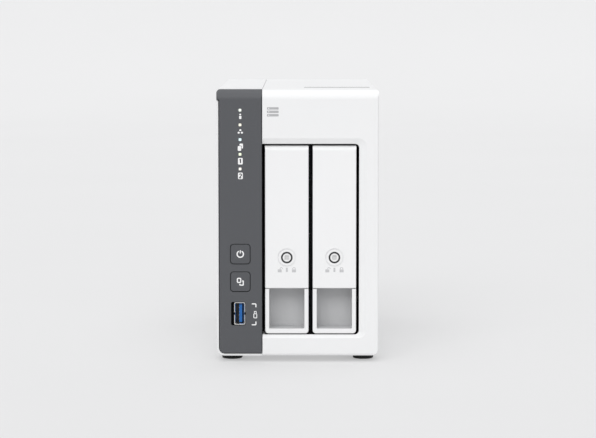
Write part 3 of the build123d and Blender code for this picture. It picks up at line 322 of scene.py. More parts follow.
def makeCoat(name):
    sizes = coats[name]
    finish = Finish(name)
    peel = finish.noise(sizes["peel"], 1.5)
    cloud = finish.noise(14.0, 2.0)
    colour = finish.mix(cloud, shade(sizes["colour"], 0.95), shade(sizes["colour"], 1.05))
    return finish.set(colour=colour, roughness=sizes["roughness"] + (peel - 0.5) * 0.16, coat=0.15,
                      coatRoughness=0.3, normal=finish.bump(peel, sizes["depth"] * mm, 0.6))


dress(makeCoat("blackCoat"), "drive_cage")
dress(makeCoat("rearCoat"), "rear_panel")


# metals: brushed or cast, with fine streaks along one axis

metals = {
    "zincPlate": {"colour": (0.62, 0.62, 0.60), "roughness": 0.30,
                  "streak": (1.0, 1.0, 1.0), "scale": 900},
    "blackScrew": {"colour": (0.035, 0.035, 0.037), "roughness": 0.36,
                   "streak": (1.0, 1.0, 1.0), "scale": 1100},
    "turnedBrass": {"colour": (0.70, 0.50, 0.20), "roughness": 0.28,
                    "streak": (8.0, 1.0, 1.0), "scale": 500},
    "socketSteel": {"colour": (0.78, 0.77, 0.75), "roughness": 0.22,
                    "streak": (1.0, 1.0, 9.0), "scale": 400},
    "contactGold": {"colour": (0.86, 0.62, 0.24), "roughness": 0.22,
                    "streak": (1.0, 1.0, 1.0), "scale": 1500},
    "finAluminium": {"colour": (0.66, 0.67, 0.68), "roughness": 0.34,
                     "streak": (9.0, 0.6, 9.0), "scale": 260},
    "cellSteel": {"colour": (0.70, 0.69, 0.67), "roughness": 0.2,
                  "streak": (1.0, 1.0, 5.0), "scale": 500},
    "pinSteel": {"colour": (0.66, 0.66, 0.66), "roughness": 0.24,
                 "streak": (9.0, 1.0, 1.0), "scale": 500},
}


def makeMetal(name):
    sizes = metals[name]
    finish = Finish(name)
    streak = finish.noise(sizes["scale"], 3.0, finish.stretch(sizes["streak"]))
    stain = finish.noise(60.0, 3.0)
    colour = finish.mix(stain, shade(sizes["colour"], 0.86), shade(sizes["colour"], 1.08))
    rough = sizes["roughness"] + (streak - 0.5) * 0.22 + (stain - 0.5) * 0.10
    return finish.set(colour=colour, roughness=rough, metallic=1.0,
                      normal=finish.bump(streak, 0.006 * mm, 0.5))


jackInside = {"skin": 0.7 * mm, "half": 8.0 * mm, "lip": 0.35 * mm, "colour": (0.012, 0.012, 0.013)}


def makeJack():
    # tinned steel outside; inside the skin, the housing is black plastic
    low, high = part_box("lan_jacks")
    finish = Finish("jackShell")
    x, y, z = finish.axes()
    sizes = metals["socketSteel"]
    skin, half = jackInside["skin"], jackInside["half"]
    offMiddle = abs(z - (low.z + half)).least(abs(z - (high.z - half)))
    inside = x.above(low.x + skin) * x.below(high.x - skin) * offMiddle.below(half - skin)
    inside = inside * y.below(high.y - jackInside["lip"])
    streak = finish.noise(sizes["scale"], 3.0, finish.stretch(sizes["streak"]))
    stain = finish.noise(60.0, 3.0)
    metal = finish.mix(stain, shade(sizes["colour"], 0.74), shade(sizes["colour"], 0.92))
    return finish.set(colour=finish.mix(inside, metal, jackInside["colour"]), metallic=1.0 - inside,
                      roughness=0.28 + (streak - 0.5) * 0.22 + inside * 0.25,
                      normal=finish.bump(streak, 0.006 * mm, 0.5))


contactGold = makeMetal("contactGold")
socketSteel = makeMetal("socketSteel")
dress(makeJack(), "lan_jacks")
dress(makeMetal("zincPlate"), "backplane_screws", "cage_screws", "board_screws")
dress(makeMetal("blackScrew"), "rear_panel_screws", "fan_screws")
dress(makeMetal("turnedBrass"), "board_standoffs")
dress(socketSteel, "rear_usb_shells", "front_usb_shell")
dress(contactGold, "lan_contacts")
dress(makeMetal("finAluminium"), "heatsink")
dress(makeMetal("cellSteel"), "clock_battery")
dress(makeMetal("pinSteel"), "tray_1_lever_pin", "tray_2_lever_pin")
print("metals done")


# drives: a gritty casting, and a stamped lid with turned rings round the spindle

driveLooks = {"cast": (0.42, 0.42, 0.43), "lid": (0.60, 0.60, 0.61), "ringPitch": 0.9 * mm,
              "spindle": 59.5 * mm, "ringReach": 43.0 * mm}


def makeCasting():
    finish = Finish("driveCasting")
    grit = finish.noise(700, 4.0, roughness=0.7)
    pits = finish.cells(420)
    colour = finish.mix(grit, shade(driveLooks["cast"], 0.8), shade(driveLooks["cast"], 1.15))
    return finish.set(colour=colour, roughness=0.42 + grit * 0.2, metallic=0.9,
                      normal=finish.bump(grit * 0.7 + pits * 0.3, 0.04 * mm, 0.7))


def makeLid(name, box):
    # rings are a sine of the distance from the spindle, over the raised round part only
    low, high = box
    finish = Finish(name)
    _, y, z = finish.axes()
    middleZ = (low.z + high.z) / 2
    spindleY = low.y + driveLooks["spindle"]
    reach = ((y - spindleY) ** 2.0 + (z - middleZ) ** 2.0) ** 0.5
    rings = (reach * (2 * math.pi / driveLooks["ringPitch"])).wave()
    inside = reach.below(driveLooks["ringReach"])
    brushed = finish.noise(220, 3.0, finish.stretch((1.0, 0.5, 14.0)))
    streak = rings * inside * 0.5 + brushed
    cloud = finish.noise(30, 2.0)
    colour = finish.mix(cloud, shade(driveLooks["lid"], 0.9), shade(driveLooks["lid"], 1.08))
    return finish.set(colour=colour, roughness=0.26 + brushed * 0.16, metallic=1.0,
                      normal=finish.bump(streak, 0.01 * mm, 0.5))


driveCasting = makeCasting()
for number in (1, 2):
    dress(driveCasting, f"tray_{number}_drive_body")
    dress(makeLid(f"driveLid{number}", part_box(f"tray_{number}_drive_cover")), f"tray_{number}_drive_cover")


# circuit boards: green mask over copper tracks, bare weave on the cut edges

boardLooks = {"mask": (0.006, 0.060, 0.028), "track": (0.016, 0.110, 0.050), "pitch": 2.54 * mm,
              "trackWidth": 0.22, "pad": (0.72, 0.70, 0.62), "padReach": 0.24, "padsAbove": 0.56}


def makeBoard(name, across, up):
    # across and up are the numbers of the two axes that lie in the board
    finish = Finish(name)
    axes = finish.axes()
    first, second = axes[across] / boardLooks["pitch"], axes[up] / boardLooks["pitch"]
    patch = finish.noise(60, 1.0)
    alongFirst = abs(second.math("FRACT") - 0.5).below(boardLooks["trackWidth"] / 2)
    alongSecond = abs(first.math("FRACT") - 0.5).below(boardLooks["trackWidth"] / 2)
    tracks = alongFirst * patch.above(0.5) + alongSecond * patch.below(0.5)
    hole = ((first.math("FRACT") - 0.5) ** 2.0 + (second.math("FRACT") - 0.5) ** 2.0) ** 0.5
    chosen = finish.noise(150, 0.0).above(boardLooks["padsAbove"])
    pads = hole.below(boardLooks["padReach"]) * chosen
    colour = finish.mix(tracks, boardLooks["mask"], boardLooks["track"])
    colour = finish.mix(pads, colour, boardLooks["pad"])
    relief = tracks * 0.6 + pads
    return finish.set(colour=colour, roughness=0.30 + finish.noise(500, 2.0) * 0.12, metallic=pads * 0.9,
                      coat=0.4, coatRoughness=0.15, normal=finish.bump(relief, 0.03 * mm, 0.6))


sideBoard = makeBoard("sideBoardMask", 1, 2)
crossBoard = makeBoard("crossBoardMask", 0, 2)
dress(sideBoard, "main_board", "tray_1_drive_board", "tray_2_drive_board")
dress(crossBoard, "front_board", "backplane_board")


def makeChip():
    # moulded epoxy, a little uneven in tone
    finish = Finish("chipEpoxy")
    grit = finish.noise(1600, 2.0)
    colour = finish.mix(grit, (0.012, 0.012, 0.013), (0.026, 0.026, 0.028))
    return finish.set(colour=colour, roughness=0.5 + grit * 0.15, normal=finish.bump(grit, 0.01 * mm, 0.5))


def makeCable():
    finish = Finish("cableVinyl")
    grit = finish.noise(800, 2.0)
    colour = finish.mix(grit, (0.012, 0.012, 0.012), (0.02, 0.02, 0.02))
    return finish.set(colour=colour, roughness=0.4 + grit * 0.15, normal=finish.bump(grit, 0.01 * mm, 0.4))


chipEpoxy = makeChip()
dress(chipEpoxy, "processor", "memory_chips")
dress(makeCable(), "fan_lead")


# fan: glass-filled black plastic; a silver sticker with a dark ring shows on the hub, front and back

fanLooks = {"black": (0.014, 0.014, 0.015), "label": (0.55, 0.56, 0.57), "ring": (0.08, 0.08, 0.09),
            "labelRadius": 12.5 * mm, "ringRadius": 10.6 * mm, "ringWidth": 0.35 * mm, "skin": 0.3 * mm}


def makeFan(name, box, side):
    # the sticker is on the box's front or back face, as side says
    low, high = box
    finish = Finish(name)
    x, y, z = finish.axes()
    reach = ((x - (low.x + high.x) / 2) ** 2.0 + (z - (low.z + high.z) / 2) ** 2.0) ** 0.5
    grit = finish.noise(1500, 3.0)
    flow = finish.noise(40, 2.0)
    colour = finish.mix(flow, shade(fanLooks["black"], 0.8), shade(fanLooks["black"], 1.3))
    rough = 0.38 + grit * 0.16
    skin = fanLooks["skin"]
    outer = y.above(high.y - skin) if side == "back" else y.below(low.y + skin)
    label = reach.below(fanLooks["labelRadius"]) * outer
    ring = abs(reach - fanLooks["ringRadius"]).below(fanLooks["ringWidth"])
    colour = finish.mix(label, colour, finish.mix(ring, fanLooks["label"], fanLooks["ring"]))
    return finish.set(colour=colour, roughness=rough - label * 0.12,
                      normal=finish.bump(grit, 0.012 * mm, 0.5))


dress(makeFan("fanHousing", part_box("fan_frame"), "back"), "fan_frame")
dress(makeFan("fanBlades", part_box("fan_rotor"), "front"), "fan_rotor")


# status lights: the pipes' front ends glow, each in its own tint

lights = {
    "tints": ((0.93, 1.0, 0.90), (1.0, 0.96, 0.82), (0.80, 0.97, 1.0), (0.93, 1.0, 0.76),
              (1.0, 0.97, 0.90)),
    "pipe": (0.72, 0.76, 0.74), "glowStrength": 0.12,
    "halfLight": 0.8, "litDepth": 0.8,  # millimetres
}


def makeLightPipe():
    # each light's tint holds from half a pitch above it to half a pitch below
    low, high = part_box("status_leds")
    halfLight = lights["halfLight"] * mm
    pitch = (high.z - low.z - 2 * halfLight) / (len(lights["tints"]) - 1)
    finish = Finish("lightPipe")
    _, y, z = finish.axes()
    tint = lights["tints"][-1]
    for i, wanted in reversed(list(enumerate(lights["tints"][:-1]))):
        edge = high.z - halfLight - pitch * (i + 0.5)
        tint = finish.mix(z.above(edge), tint, wanted)
    lit = y.below(frontY + lights["litDepth"] * mm)
    cloud = finish.noise(1200, 2.0)
    colour = finish.mix(lit, lights["pipe"], tint)
    glow = finish.mix(lit, (0.0, 0.0, 0.0), tint)
    return finish.set(colour=colour, roughness=0.22 + cloud * 0.1, glow=glow,
                      glowStrength=lights["glowStrength"], coat=0.3,
                      normal=finish.bump(cloud, 0.004 * mm, 0.4))


def makeLed():
    finish = Finish("ledResin")
    cloud = finish.noise(2500, 2.0)
    colour = finish.mix(cloud, (0.78, 0.72, 0.40), (0.92, 0.88, 0.62))
    return finish.set(colour=colour, roughness=0.2 + cloud * 0.1)


dress(makeLightPipe(), "light_pipes")
dress(makeLed(), "status_leds")
print("boards, fan and lights done")


# mesh building from grids

def gridFaces(rows, columns, offset=0, closeRows=False):
    # quads between neighbouring rows and columns; columns always close on themselves
    rowSteps = np.arange(rows if closeRows else rows - 1)
    a = np.add.outer(rowSteps * columns, np.arange(columns))
    b = np.add.outer(rowSteps * columns, (np.arange(columns) + 1) % columns)
    nextA = np.add.outer(((rowSteps + 1) % rows) * columns, np.arange(columns))
    nextB = np.add.outer(((rowSteps + 1) % rows) * columns, (np.arange(columns) + 1) % columns)
    return np.stack([a, b, nextB, nextA], axis=-1).reshape(-1, 4) + offset


def capFaces(columns, start, flip):
    ring = list(range(start, start + columns))
    return [ring[::-1] if flip else ring]


def shellVolume(points, faces):
    # signed volume of a closed shell by tetrahedra from the origin, over each face's fan
    total = 0.0
    for face in faces:
        first = points[face[0]]
        for i in range(1, len(face) - 1):
            total += np.dot(first, np.cross(points[face[i]], points[face[i + 1]]))
    return total / 6


def buildPiece(name, shells, material, body, smooth=True):
    # each shell is (points, faces); all are joined into one mesh with faces outwards
    allPoints, allFaces, count = [], [], 0
    for points, faces in shells:
        faces = [list(map(int, face)) for face in faces]
        if shellVolume(points - points.mean(axis=0), faces) < 0:
            faces = [face[::-1] for face in faces]
        allPoints.append(points)
        allFaces += [[index + count for index in face] for face in faces]
        count += len(points)
    mesh = bpy.data.meshes.new(name)
    mesh.from_pydata(np.concatenate(allPoints).tolist(), [], allFaces)
    mesh.validate()
    mesh.polygons.foreach_set("use_smooth", [smooth] * len(mesh.polygons))
    mesh.materials.append(material)
    piece = bpy.data.objects.new(name, mesh)
    bpy.context.scene.collection.objects.link(piece)
    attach(piece, body)
    return piece


# printed marks: flat beads of ink laid along paths in millimetres, in a face's own right and up

ink = {"rise": 0.035, "sink": 0.03, "acrossSteps": 10, "shoulder": 6.0}


def arcPath(centre, radius, fromAngle, toAngle, steps=36):
    # points on a circle, angles in degrees from the right, anticlockwise
    angles = np.radians(np.linspace(fromAngle, toAngle, steps))
    return np.stack([centre[0] + radius * np.cos(angles), centre[1] + radius * np.sin(angles)], axis=1)


def linePath(*points, steps=14):
    # straight runs between points, evenly sampled
    runs = [np.linspace(a, b, steps)[:-1] for a, b in zip(points[:-1], points[1:])]
    return np.concatenate([*runs, np.array([points[-1]])]).astype(float)


def roundedPath(centre, wide, high, corner, steps=8):
    # closed rounded rectangle, from its right side, anticlockwise
    parts = []
    for quarter, (sx, sz) in enumerate(((1, 1), (-1, 1), (-1, -1), (1, -1))):
        middle = (centre[0] + sx * (wide / 2 - corner), centre[1] + sz * (high / 2 - corner))
        parts.append(arcPath(middle, corner, 90 * quarter, 90 * quarter + 90, steps))
    return np.concatenate(parts)


def bead(path, width, closed=False, rise=None):
    # a flat-topped bead: across it, height is rise times (1 - |t|^shoulder); near each end its half width
    # follows a quarter circle, so that an open bead has round ends
    rise = ink["rise"] if rise is None else rise
    if closed:
        along = np.roll(path, -1, axis=0) - np.roll(path, 1, axis=0)
        narrow = np.ones(len(path))
    else:
        steps = np.linalg.norm(np.diff(path, axis=0), axis=1)
        place = np.concatenate([[0.0], np.cumsum(steps)])
        total = place[-1]
        spread = (1 - np.cos(np.linspace(0, math.pi, 44))) / 2 * total
        path = np.stack([np.interp(spread, place, path[:, i]) for i in (0, 1)], axis=1)
        along = np.gradient(path, axis=0)
        fromEnd = np.minimum(spread, total - spread)
        part = np.clip(fromEnd / (width / 2), 0, 1)
        narrow = np.sqrt(np.clip(1 - (1 - part) ** 2, 0.0004, 1))
    along = along / np.maximum(np.linalg.norm(along, axis=1, keepdims=True), 1e-9)
    side = np.stack([-along[:, 1], along[:, 0]], axis=1)
    across = np.linspace(-1, 1, ink["acrossSteps"])
    top = rise * (1 - np.abs(across) ** ink["shoulder"])
    t = np.concatenate([across, across[::-1][1:-1]])
    height = np.concatenate([top, np.full(len(across) - 2, -ink["sink"])])
    height[0] = height[len(across) - 1] = -ink["sink"]
    offset = np.multiply.outer(narrow * width / 2, t)
    flat = path[:, None, :] + side[:, None, :] * offset[:, :, None]
    lift = np.broadcast_to(height, offset.shape)
    points = np.concatenate([flat, lift[:, :, None]], axis=2).reshape(-1, 3)
    columns = len(t)
    faces = list(gridFaces(len(path), columns, closeRows=closed))
    if not closed:
        faces += capFaces(columns, 0, True) + capFaces(columns, (len(path) - 1) * columns, False)
    return points, faces


def line(*points, width, rise=None):
    return bead(linePath(*points), width, rise=rise)


def dot(centre, radius, rise=None):
    # a round spot: a short open bead as wide as it is long
    reach = radius * 0.999
    return line((centre[0] - reach, centre[1]), (centre[0] + reach, centre[1]), width=radius * 2, rise=rise)


def tile(centre, wide, high, corner, rise=None):
    # a filled rounded rectangle: rings shrinking to its middle, with the rim rolled down
    rise = ink["rise"] if rise is None else rise
    rim = roundedPath(centre, wide, high, corner)
    middle = np.array(centre)
    scales = (1.0, 0.985, 0.9, 0.5)
    heights = (-ink["sink"], rise * 0.85, rise, rise)
    rings = [np.column_stack([middle + (rim - middle) * s, np.full(len(rim), h)])
             for s, h in zip(scales, heights)]
    points = np.concatenate(rings)
    columns = len(rim)
    faces = list(gridFaces(len(rings), columns))
    return points, faces + capFaces(columns, 0, True) + capFaces(columns, (len(rings) - 1) * columns, False)


def onFace(shells, origin, right, up=(0, 0, 1)):
    # right, up and outwards (their cross product) carry millimetres into the frame from an origin in metres
    axes = np.array([right, up, np.cross(right, up)], dtype=float)
    return [(np.array(origin) + points @ axes * mm, faces) for points, faces in shells]


def onFront(shells, face):
    return onFace(shells, (0, face, 0), (1, 0, 0))


def onBack(shells, face):
    # right is -X here, so that signs read rightly from behind
    return onFace(shells, (0, face, 0), (-1, 0, 0))


def makeInk(name, colour, roughness=0.5):
    finish = Finish(name)
    screen = finish.noise(1800, 2.0)
    tone = finish.mix(screen, shade(colour, 0.94), shade(colour, 1.04))
    return finish.set(colour=tone, roughness=roughness + (screen - 0.5) * 0.15, specular=0.3,
                      normal=finish.bump(screen, 0.004 * mm, 0.5))


whiteInk = makeInk("whiteInk", (0.93, 0.93, 0.93))
greyInk = makeInk("greyInk", (0.46, 0.46, 0.47))
faintInk = makeInk("faintInk", (0.58, 0.58, 0.59))
darkInk = makeInk("darkInk", (0.055, 0.055, 0.06))


def middleOf(name):
    # a node's middle, right and up, in millimetres
    low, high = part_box(name)
    return (low.x + high.x) / 2 / mm, (low.z + high.z) / 2 / mm


# symbols on the control panel

signs = {
    "drops": (4.0, 4.1, 4.8, 4.35, 4.35),  # from each light's middle to its sign's middle
    "shift": 0.2, "dot": 0.68, "dotSpread": (1.0, 0.8),
    "headUp": 1.25, "head": 0.6, "bodyDown": 0.6, "body": (1.45, 1.9, 0.3),
    "page": (2.25, 3.1), "pageShift": (-0.55, 0.75), "pageRim": 0.55, "pageCorner": 0.5,
    "tile": (3.0, 4.15), "tileCorner": 0.6, "numeral": 2.5,
}


def lightHeights():
    # each light's middle in millimetres, from the top down
    low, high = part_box("status_leds")
    count = len(lights["tints"])
    top, bottom = high.z / mm - lights["halfLight"], low.z / mm + lights["halfLight"]
    return [top + (bottom - top) * i / (count - 1) for i in range(count)]


def outlinePages(centre, size, stroke, shift):
    # two overlapping sheets: the near one whole, and the far one as the corner that shows behind it
    x, z = centre
    wide, high = size
    near = roundedPath((x - shift[0], z + shift[1]), wide, high, 0.5)
    x0, x1 = x + shift[0] - wide / 2, x + shift[0] + wide / 2
    z0, z1 = z - shift[1] - high / 2, z - shift[1] + high / 2
    rest = linePath((x0, z + shift[1] - high / 2 - stroke), (x0, z0), (x1, z0), (x1, z1),
                    (x - shift[0] + wide / 2 + stroke, z1))
    return [bead(near, stroke, closed=True), bead(rest, stroke)]


numerals = {"one": 0.9, "two": 0.76, "stem": 0.06, "rise": 0.07}


def numeralOne(centre, high):
    # a short flag, then an upright
    x, z = centre
    stem = x + numerals["stem"]
    path = linePath((x - high * 0.2, z + high * 0.28), (stem, z + high * 0.5), (stem, z - high * 0.5))
    return [bead(path, numerals["one"], rise=numerals["rise"])]


def numeralTwo(centre, high):
    # an arc for the head, then a slope to the foot
    x, z = centre
    radius = high * 0.27
    head = arcPath((x, z + high * 0.5 - radius), radius, 165, -35, 20)
    low = z - high * 0.5
    foot = linePath(tuple(head[-1]), (x - radius, low), (x + radius, low), steps=8)
    return [bead(np.concatenate([head, foot[1:]]), numerals["two"], rise=numerals["rise"])]


def makePanelSigns():
    x = middleOf("status_leds")[0] + signs["shift"]
    places = [z - drop for z, drop in zip(lightHeights(), signs["drops"])]
    shells = [dot((x, places[0] + signs["headUp"]), signs["head"]),
              tile((x, places[0] - signs["bodyDown"]), *signs["body"])]
    spreadX, spreadZ = signs["dotSpread"]
    shells += [dot((x, places[1] + spreadZ), signs["dot"])]
    shells += [dot((x + side * spreadX, places[1] - spreadZ), signs["dot"]) for side in (-1, 1)]
    shiftX, shiftZ = signs["pageShift"]
    wide, high = signs["page"]
    near, rim, corner = (x + shiftX, places[2] - shiftZ), signs["pageRim"], signs["pageCorner"]
    shells += [tile((x - shiftX, places[2] + shiftZ), wide, high, corner),
               tile(near, wide, high, corner, rise=0.07)]
    shells += [tile((x, places[i]), *signs["tile"], signs["tileCorner"]) for i in (3, 4)]
    buildPiece("panelSigns", onFront(shells, frontY), whiteInk, "chassis")
    numbers = [tile(near, wide + rim, high + rim, corner + 0.1, rise=0.05)]
    numbers += numeralOne((x, places[3]), signs["numeral"]) + numeralTwo((x, places[4]), signs["numeral"])
    buildPiece("panelNumbers", onFront(numbers, frontY), darkInk, "chassis")


makePanelSigns()

buttonSigns = {"radius": 2.0, "stroke": 0.86, "gap": 23, "barFrom": 0.35, "barTo": 2.5,
               "page": (2.1, 2.6), "pageStroke": 0.82, "pageShift": (0.8, 0.85)}


def makeButtonSigns():
    sizes = buttonSigns
    for node in ("power_button", "copy_button"):
        x, z = middleOf(node)
        if node == "power_button":
            ring = arcPath((x, z), sizes["radius"], 90 + sizes["gap"], 450 - sizes["gap"])
            low, high = z + sizes["barFrom"], z + sizes["barTo"]
            shells = [bead(ring, sizes["stroke"]),
                      line((x, low), (x, high), width=sizes["stroke"] * 0.85)]
        else:
            shells = outlinePages((x, z), sizes["page"], sizes["pageStroke"], sizes["pageShift"])
        buildPiece(f"{node}Sign", onFront(shells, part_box(node)[0].y), whiteInk, node)


makeButtonSigns()

usbMarks = {"from": 4.1, "reach": 2.7, "height": 13.3, "leg": 2.2, "corner": 0.3, "stroke": 0.78,
            "drop": 0.45, "plug": (1.9, 2.6), "plugStroke": 0.55, "plugLeft": 0.4, "plugDown": 0.3}


def plugSign(centre, size, stroke):
    # a plug seen from its side: a body, and a narrower nose over it
    x, z = centre
    wide, high = size
    body = roundedPath((x, z - high * 0.25), wide, high, 0.35)
    nose = roundedPath((x, z + high * 0.54), wide * 0.62, high * 0.6, 0.2)
    return [bead(body, stroke, closed=True), bead(nose, stroke * 0.85, closed=True)]


def makeUsbMarks():
    # two corner brackets beside the socket, and a small plug between them
    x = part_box("front_usb_shell")[1].x / mm + usbMarks["from"]
    middle = middleOf("front_usb_shell")[1] - usbMarks["drop"]
    right, half, corner = x + usbMarks["reach"], usbMarks["height"] / 2, usbMarks["corner"]
    shells = []
    for side in (1, -1):
        shells.append(line((x, middle + side * half), (right - corner, middle + side * half),
                           (right, middle + side * (half - corner)),
                           (right, middle + side * (half - usbMarks["leg"])), width=usbMarks["stroke"]))
    plug = (right - usbMarks["plugLeft"], middle - usbMarks["plugDown"])
    shells += plugSign(plug, usbMarks["plug"], usbMarks["plugStroke"])
    buildPiece("usbMarks", onFront(shells, frontY), whiteInk, "chassis")


makeUsbMarks()

lockMarks = {"drop": 7.8, "spread": 4.5, "size": 2.5, "stroke": 0.5, "bar": (1.2, 2.7)}


def padlock(centre, size, openShackle):
    # a rounded body with an arc over it, lifted and turned aside when open
    x, z = centre
    body = tile((x, z - size * 0.25), size, size * 0.75, 0.15)
    shift = size * 0.42 if openShackle else 0.0
    arc = arcPath((x + shift, z + size * 0.27), size * 0.32, -20, 200, 18)
    return [body, bead(arc, lockMarks["stroke"])]


def makeLockMarks():
    for number in (1, 2):
        x, z = middleOf(f"tray_{number}_lock_collar")
        z -= lockMarks["drop"]
        shells = padlock((x - lockMarks["spread"], z), lockMarks["size"], True)
        shells += [tile((x, z), *lockMarks["bar"], 0.3)]
        shells += padlock((x + lockMarks["spread"], z), lockMarks["size"], False)
        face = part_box(f"tray_{number}_lever")[0].y
        buildPiece(f"lockMarks{number}", onFront(shells, face), faintInk, f"lever_{number}")


makeLockMarks()

bezelMark = {"left": 2.9, "drop": 13.8, "wide": 7.4, "bar": 1.5, "corner": 0.4, "pitch": 2.15, "count": 3,
             "eye": 0.34, "eyeIn": 1.2}


def makeBezelMark():
    # a plain stack of three bars with a light each, for a disk store
    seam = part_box("front_bezel")[0].x / mm
    wide = bezelMark["wide"]
    x, z = seam + bezelMark["left"] + wide / 2, caseHigh.z / mm - bezelMark["drop"]
    bars, eyes = [], []
    for i in range(bezelMark["count"]):
        level = z + (1 - i) * bezelMark["pitch"]
        bars.append(tile((x, level), wide, bezelMark["bar"], bezelMark["corner"]))
        eyes.append(dot((x - wide / 2 + bezelMark["eyeIn"], level), bezelMark["eye"], rise=0.06))
    buildPiece("bezelMark", onFront(bars, frontY), greyInk, "chassis")
    buildPiece("bezelMarkEyes", onFront(eyes, frontY), whiteInk, "chassis")


makeBezelMark()

rearMarks = {"high": 2.6, "stroke": 0.42, "aside": 2.6, "plug": (1.5, 1.9), "nudge": 0.4,
             "inletReach": 1.5, "inletRise": 0.45, "dashPitch": 1.1, "dashHalf": 0.28,
             "resetAside": 3.4, "turnRadius": 0.95, "turnHead": ((0.1, 1.5), (0.55, 0.85), (-0.15, 0.45))}


def makeRearMarks():
    # each sign stands on the fan's side of its socket, as seen from behind, where right is -X
    sizes = rearMarks
    stroke, aside, nudge = sizes["stroke"], sizes["aside"], sizes["nudge"]
    low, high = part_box("lan_jacks")
    x, half = -high.x / mm - aside, jackInside["half"] / mm
    shells = numeralOne((x, high.z / mm - half), sizes["high"])
    shells += numeralTwo((x, low.z / mm + half), sizes["high"])
    low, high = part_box("rear_usb_shells")
    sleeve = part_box("front_usb_shell")
    half = (sleeve[1].z - sleeve[0].z) / mm / 2
    for level in (high.z / mm - half, low.z / mm + half):
        shells += plugSign((-high.x / mm - aside - nudge, level), sizes["plug"], stroke)
    # direct current: a bar over three dashes
    x, z = -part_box("dc_jack")[1].x / mm - aside + nudge, middleOf("dc_jack")[1]
    reach, rise, dash = sizes["inletReach"], sizes["inletRise"], sizes["dashHalf"]
    shells.append(line((x - reach, z + rise), (x + reach, z + rise), width=stroke))
    for middle in (x - sizes["dashPitch"], x, x + sizes["dashPitch"]):
        shells.append(line((middle - dash, z - rise), (middle + dash, z - rise), width=stroke))
    # reset: a turning arrow
    x, z = middleOf("reset_button")
    x = -x - sizes["resetAside"]
    shells.append(bead(arcPath((x, z), sizes["turnRadius"], 120, 420), stroke))
    shells.append(line(*[(x + right, z + up) for right, up in sizes["turnHead"]], width=stroke))
    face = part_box("rear_panel")[1].y
    buildPiece("rearMarks", onBack(shells, face), darkInk, "chassis")


makeRearMarks()
print("printed marks done")


# small fittings: contacts, socket lights, drive labels and chips

topGrooveShade = {"setback": 47.0, "wide": 5.9, "left": 55.2, "right": 4.55, "deep": 0.95, "below": 0.02,
            "ridges": 4, "ridgeDeep": 0.5, "ridgeSteps": 8}


def makeTopGrooveShade():
    # a ridged inlay in black, a painted shade along the groove in the case's top: its profile's height is a
    # raised sine across the strip, carried along X
    low, high = caseLow / mm, caseHigh / mm
    across = np.linspace(-0.5, 0.5, topGrooveShade["ridgeSteps"] * topGrooveShade["ridges"] + 1)
    crest = np.abs(np.cos(across * math.pi * topGrooveShade["ridges"])) ** 0.5
    top = -topGrooveShade["below"] - topGrooveShade["ridgeDeep"] * (1 - crest)
    half, deep = topGrooveShade["wide"] / 2, topGrooveShade["deep"]
    profile = np.concatenate([np.column_stack([across * topGrooveShade["wide"], top]),
                              [[half, -deep], [-half, -deep]]])
    along = np.linspace(low.x + topGrooveShade["left"], high.x - topGrooveShade["right"], 12)
    points = np.concatenate([np.column_stack([np.full(len(profile), x), profile]) for x in along])
    points += (0, low.y + topGrooveShade["setback"], high.z)
    columns = len(profile)
    faces = list(gridFaces(len(along), columns))
    faces += capFaces(columns, 0, True) + capFaces(columns, (len(along) - 1) * columns, False)
    buildPiece("topGrooveShade", [(points * mm, faces)], linerBlack, "chassis", smooth=False)


makeTopGrooveShade()

usbContacts = {"levels": (-3.5, -1.0, 1.0, 3.5), "wide": 1.05, "from": 1.9, "to": 9.0, "rise": 0.12,
               "tongueShift": 0.6, "tongueHalf": 0.92}


def makeUsbContacts():
    # flat gold springs on the tongue's open side, seen from inside the sleeve
    sizes = usbContacts
    strips = [line((sizes["from"], level), (sizes["to"], level), width=sizes["wide"], rise=sizes["rise"])
              for level in sizes["levels"]]
    shift, half = sizes["tongueShift"], sizes["tongueHalf"]
    x, z = middleOf("front_usb_insert")
    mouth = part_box("front_usb_shell")[0].y
    mirrored = [(points * (-1, 1, 1), faces) for points, faces in strips]
    front = onFace(mirrored, ((x + shift - half) * mm, mouth, z * mm), (0, -1, 0))
    buildPiece("frontUsbContacts", front, contactGold, "chassis")
    x, _ = middleOf("rear_usb_inserts")
    low, high = (corner.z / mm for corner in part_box("rear_usb_inserts"))
    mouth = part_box("rear_usb_shells")[1].y
    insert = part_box("front_usb_insert")
    fromEnd = (insert[1].z - insert[0].z) / 2 / mm
    rear = []
    for z in (low + fromEnd, high - fromEnd):
        rear += onFace(mirrored, ((x - shift + half) * mm, mouth, z * mm), (0, 1, 0))
    buildPiece("rearUsbContacts", rear, contactGold, "chassis")


makeUsbContacts()

usbShadeRing = {"inside": (6.0, 13.3), "wide": 2.9, "corner": 1.6, "behind": 2.3, "thick": 0.6}


def makeUsbShadeRing():
    # a closed flat black bead round the front socket's sleeve, just behind the panel, that hides the inside:
    # a painted shade for the gap round the socket
    wide = usbShadeRing["wide"]
    across, up = (size + wide for size in usbShadeRing["inside"])
    path = roundedPath(middleOf("front_usb_insert"), across, up, usbShadeRing["corner"])
    ring = bead(path, wide, closed=True, rise=usbShadeRing["thick"])
    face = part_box("front_usb_shell")[0].y + usbShadeRing["behind"] * mm
    buildPiece("frontUsbGasket", onFront([ring], face), linerBlack, "chassis")


makeUsbShadeRing()

jackLights = {"size": (2.2, 3.2), "corner": 0.4, "fromEdge": 1.75, "spread": 5.6, "rise": 0.35,
              "link": (0.10, 0.42, 0.06), "traffic": (0.62, 0.30, 0.02)}


def makeLens(name, colour):
    finish = Finish(name)
    cloud = finish.noise(1500, 2.0)
    tone = finish.mix(cloud, shade(colour, 0.9), shade(colour, 1.1))
    return finish.set(colour=tone, roughness=0.16 + cloud * 0.08, coat=0.4, coatRoughness=0.1)


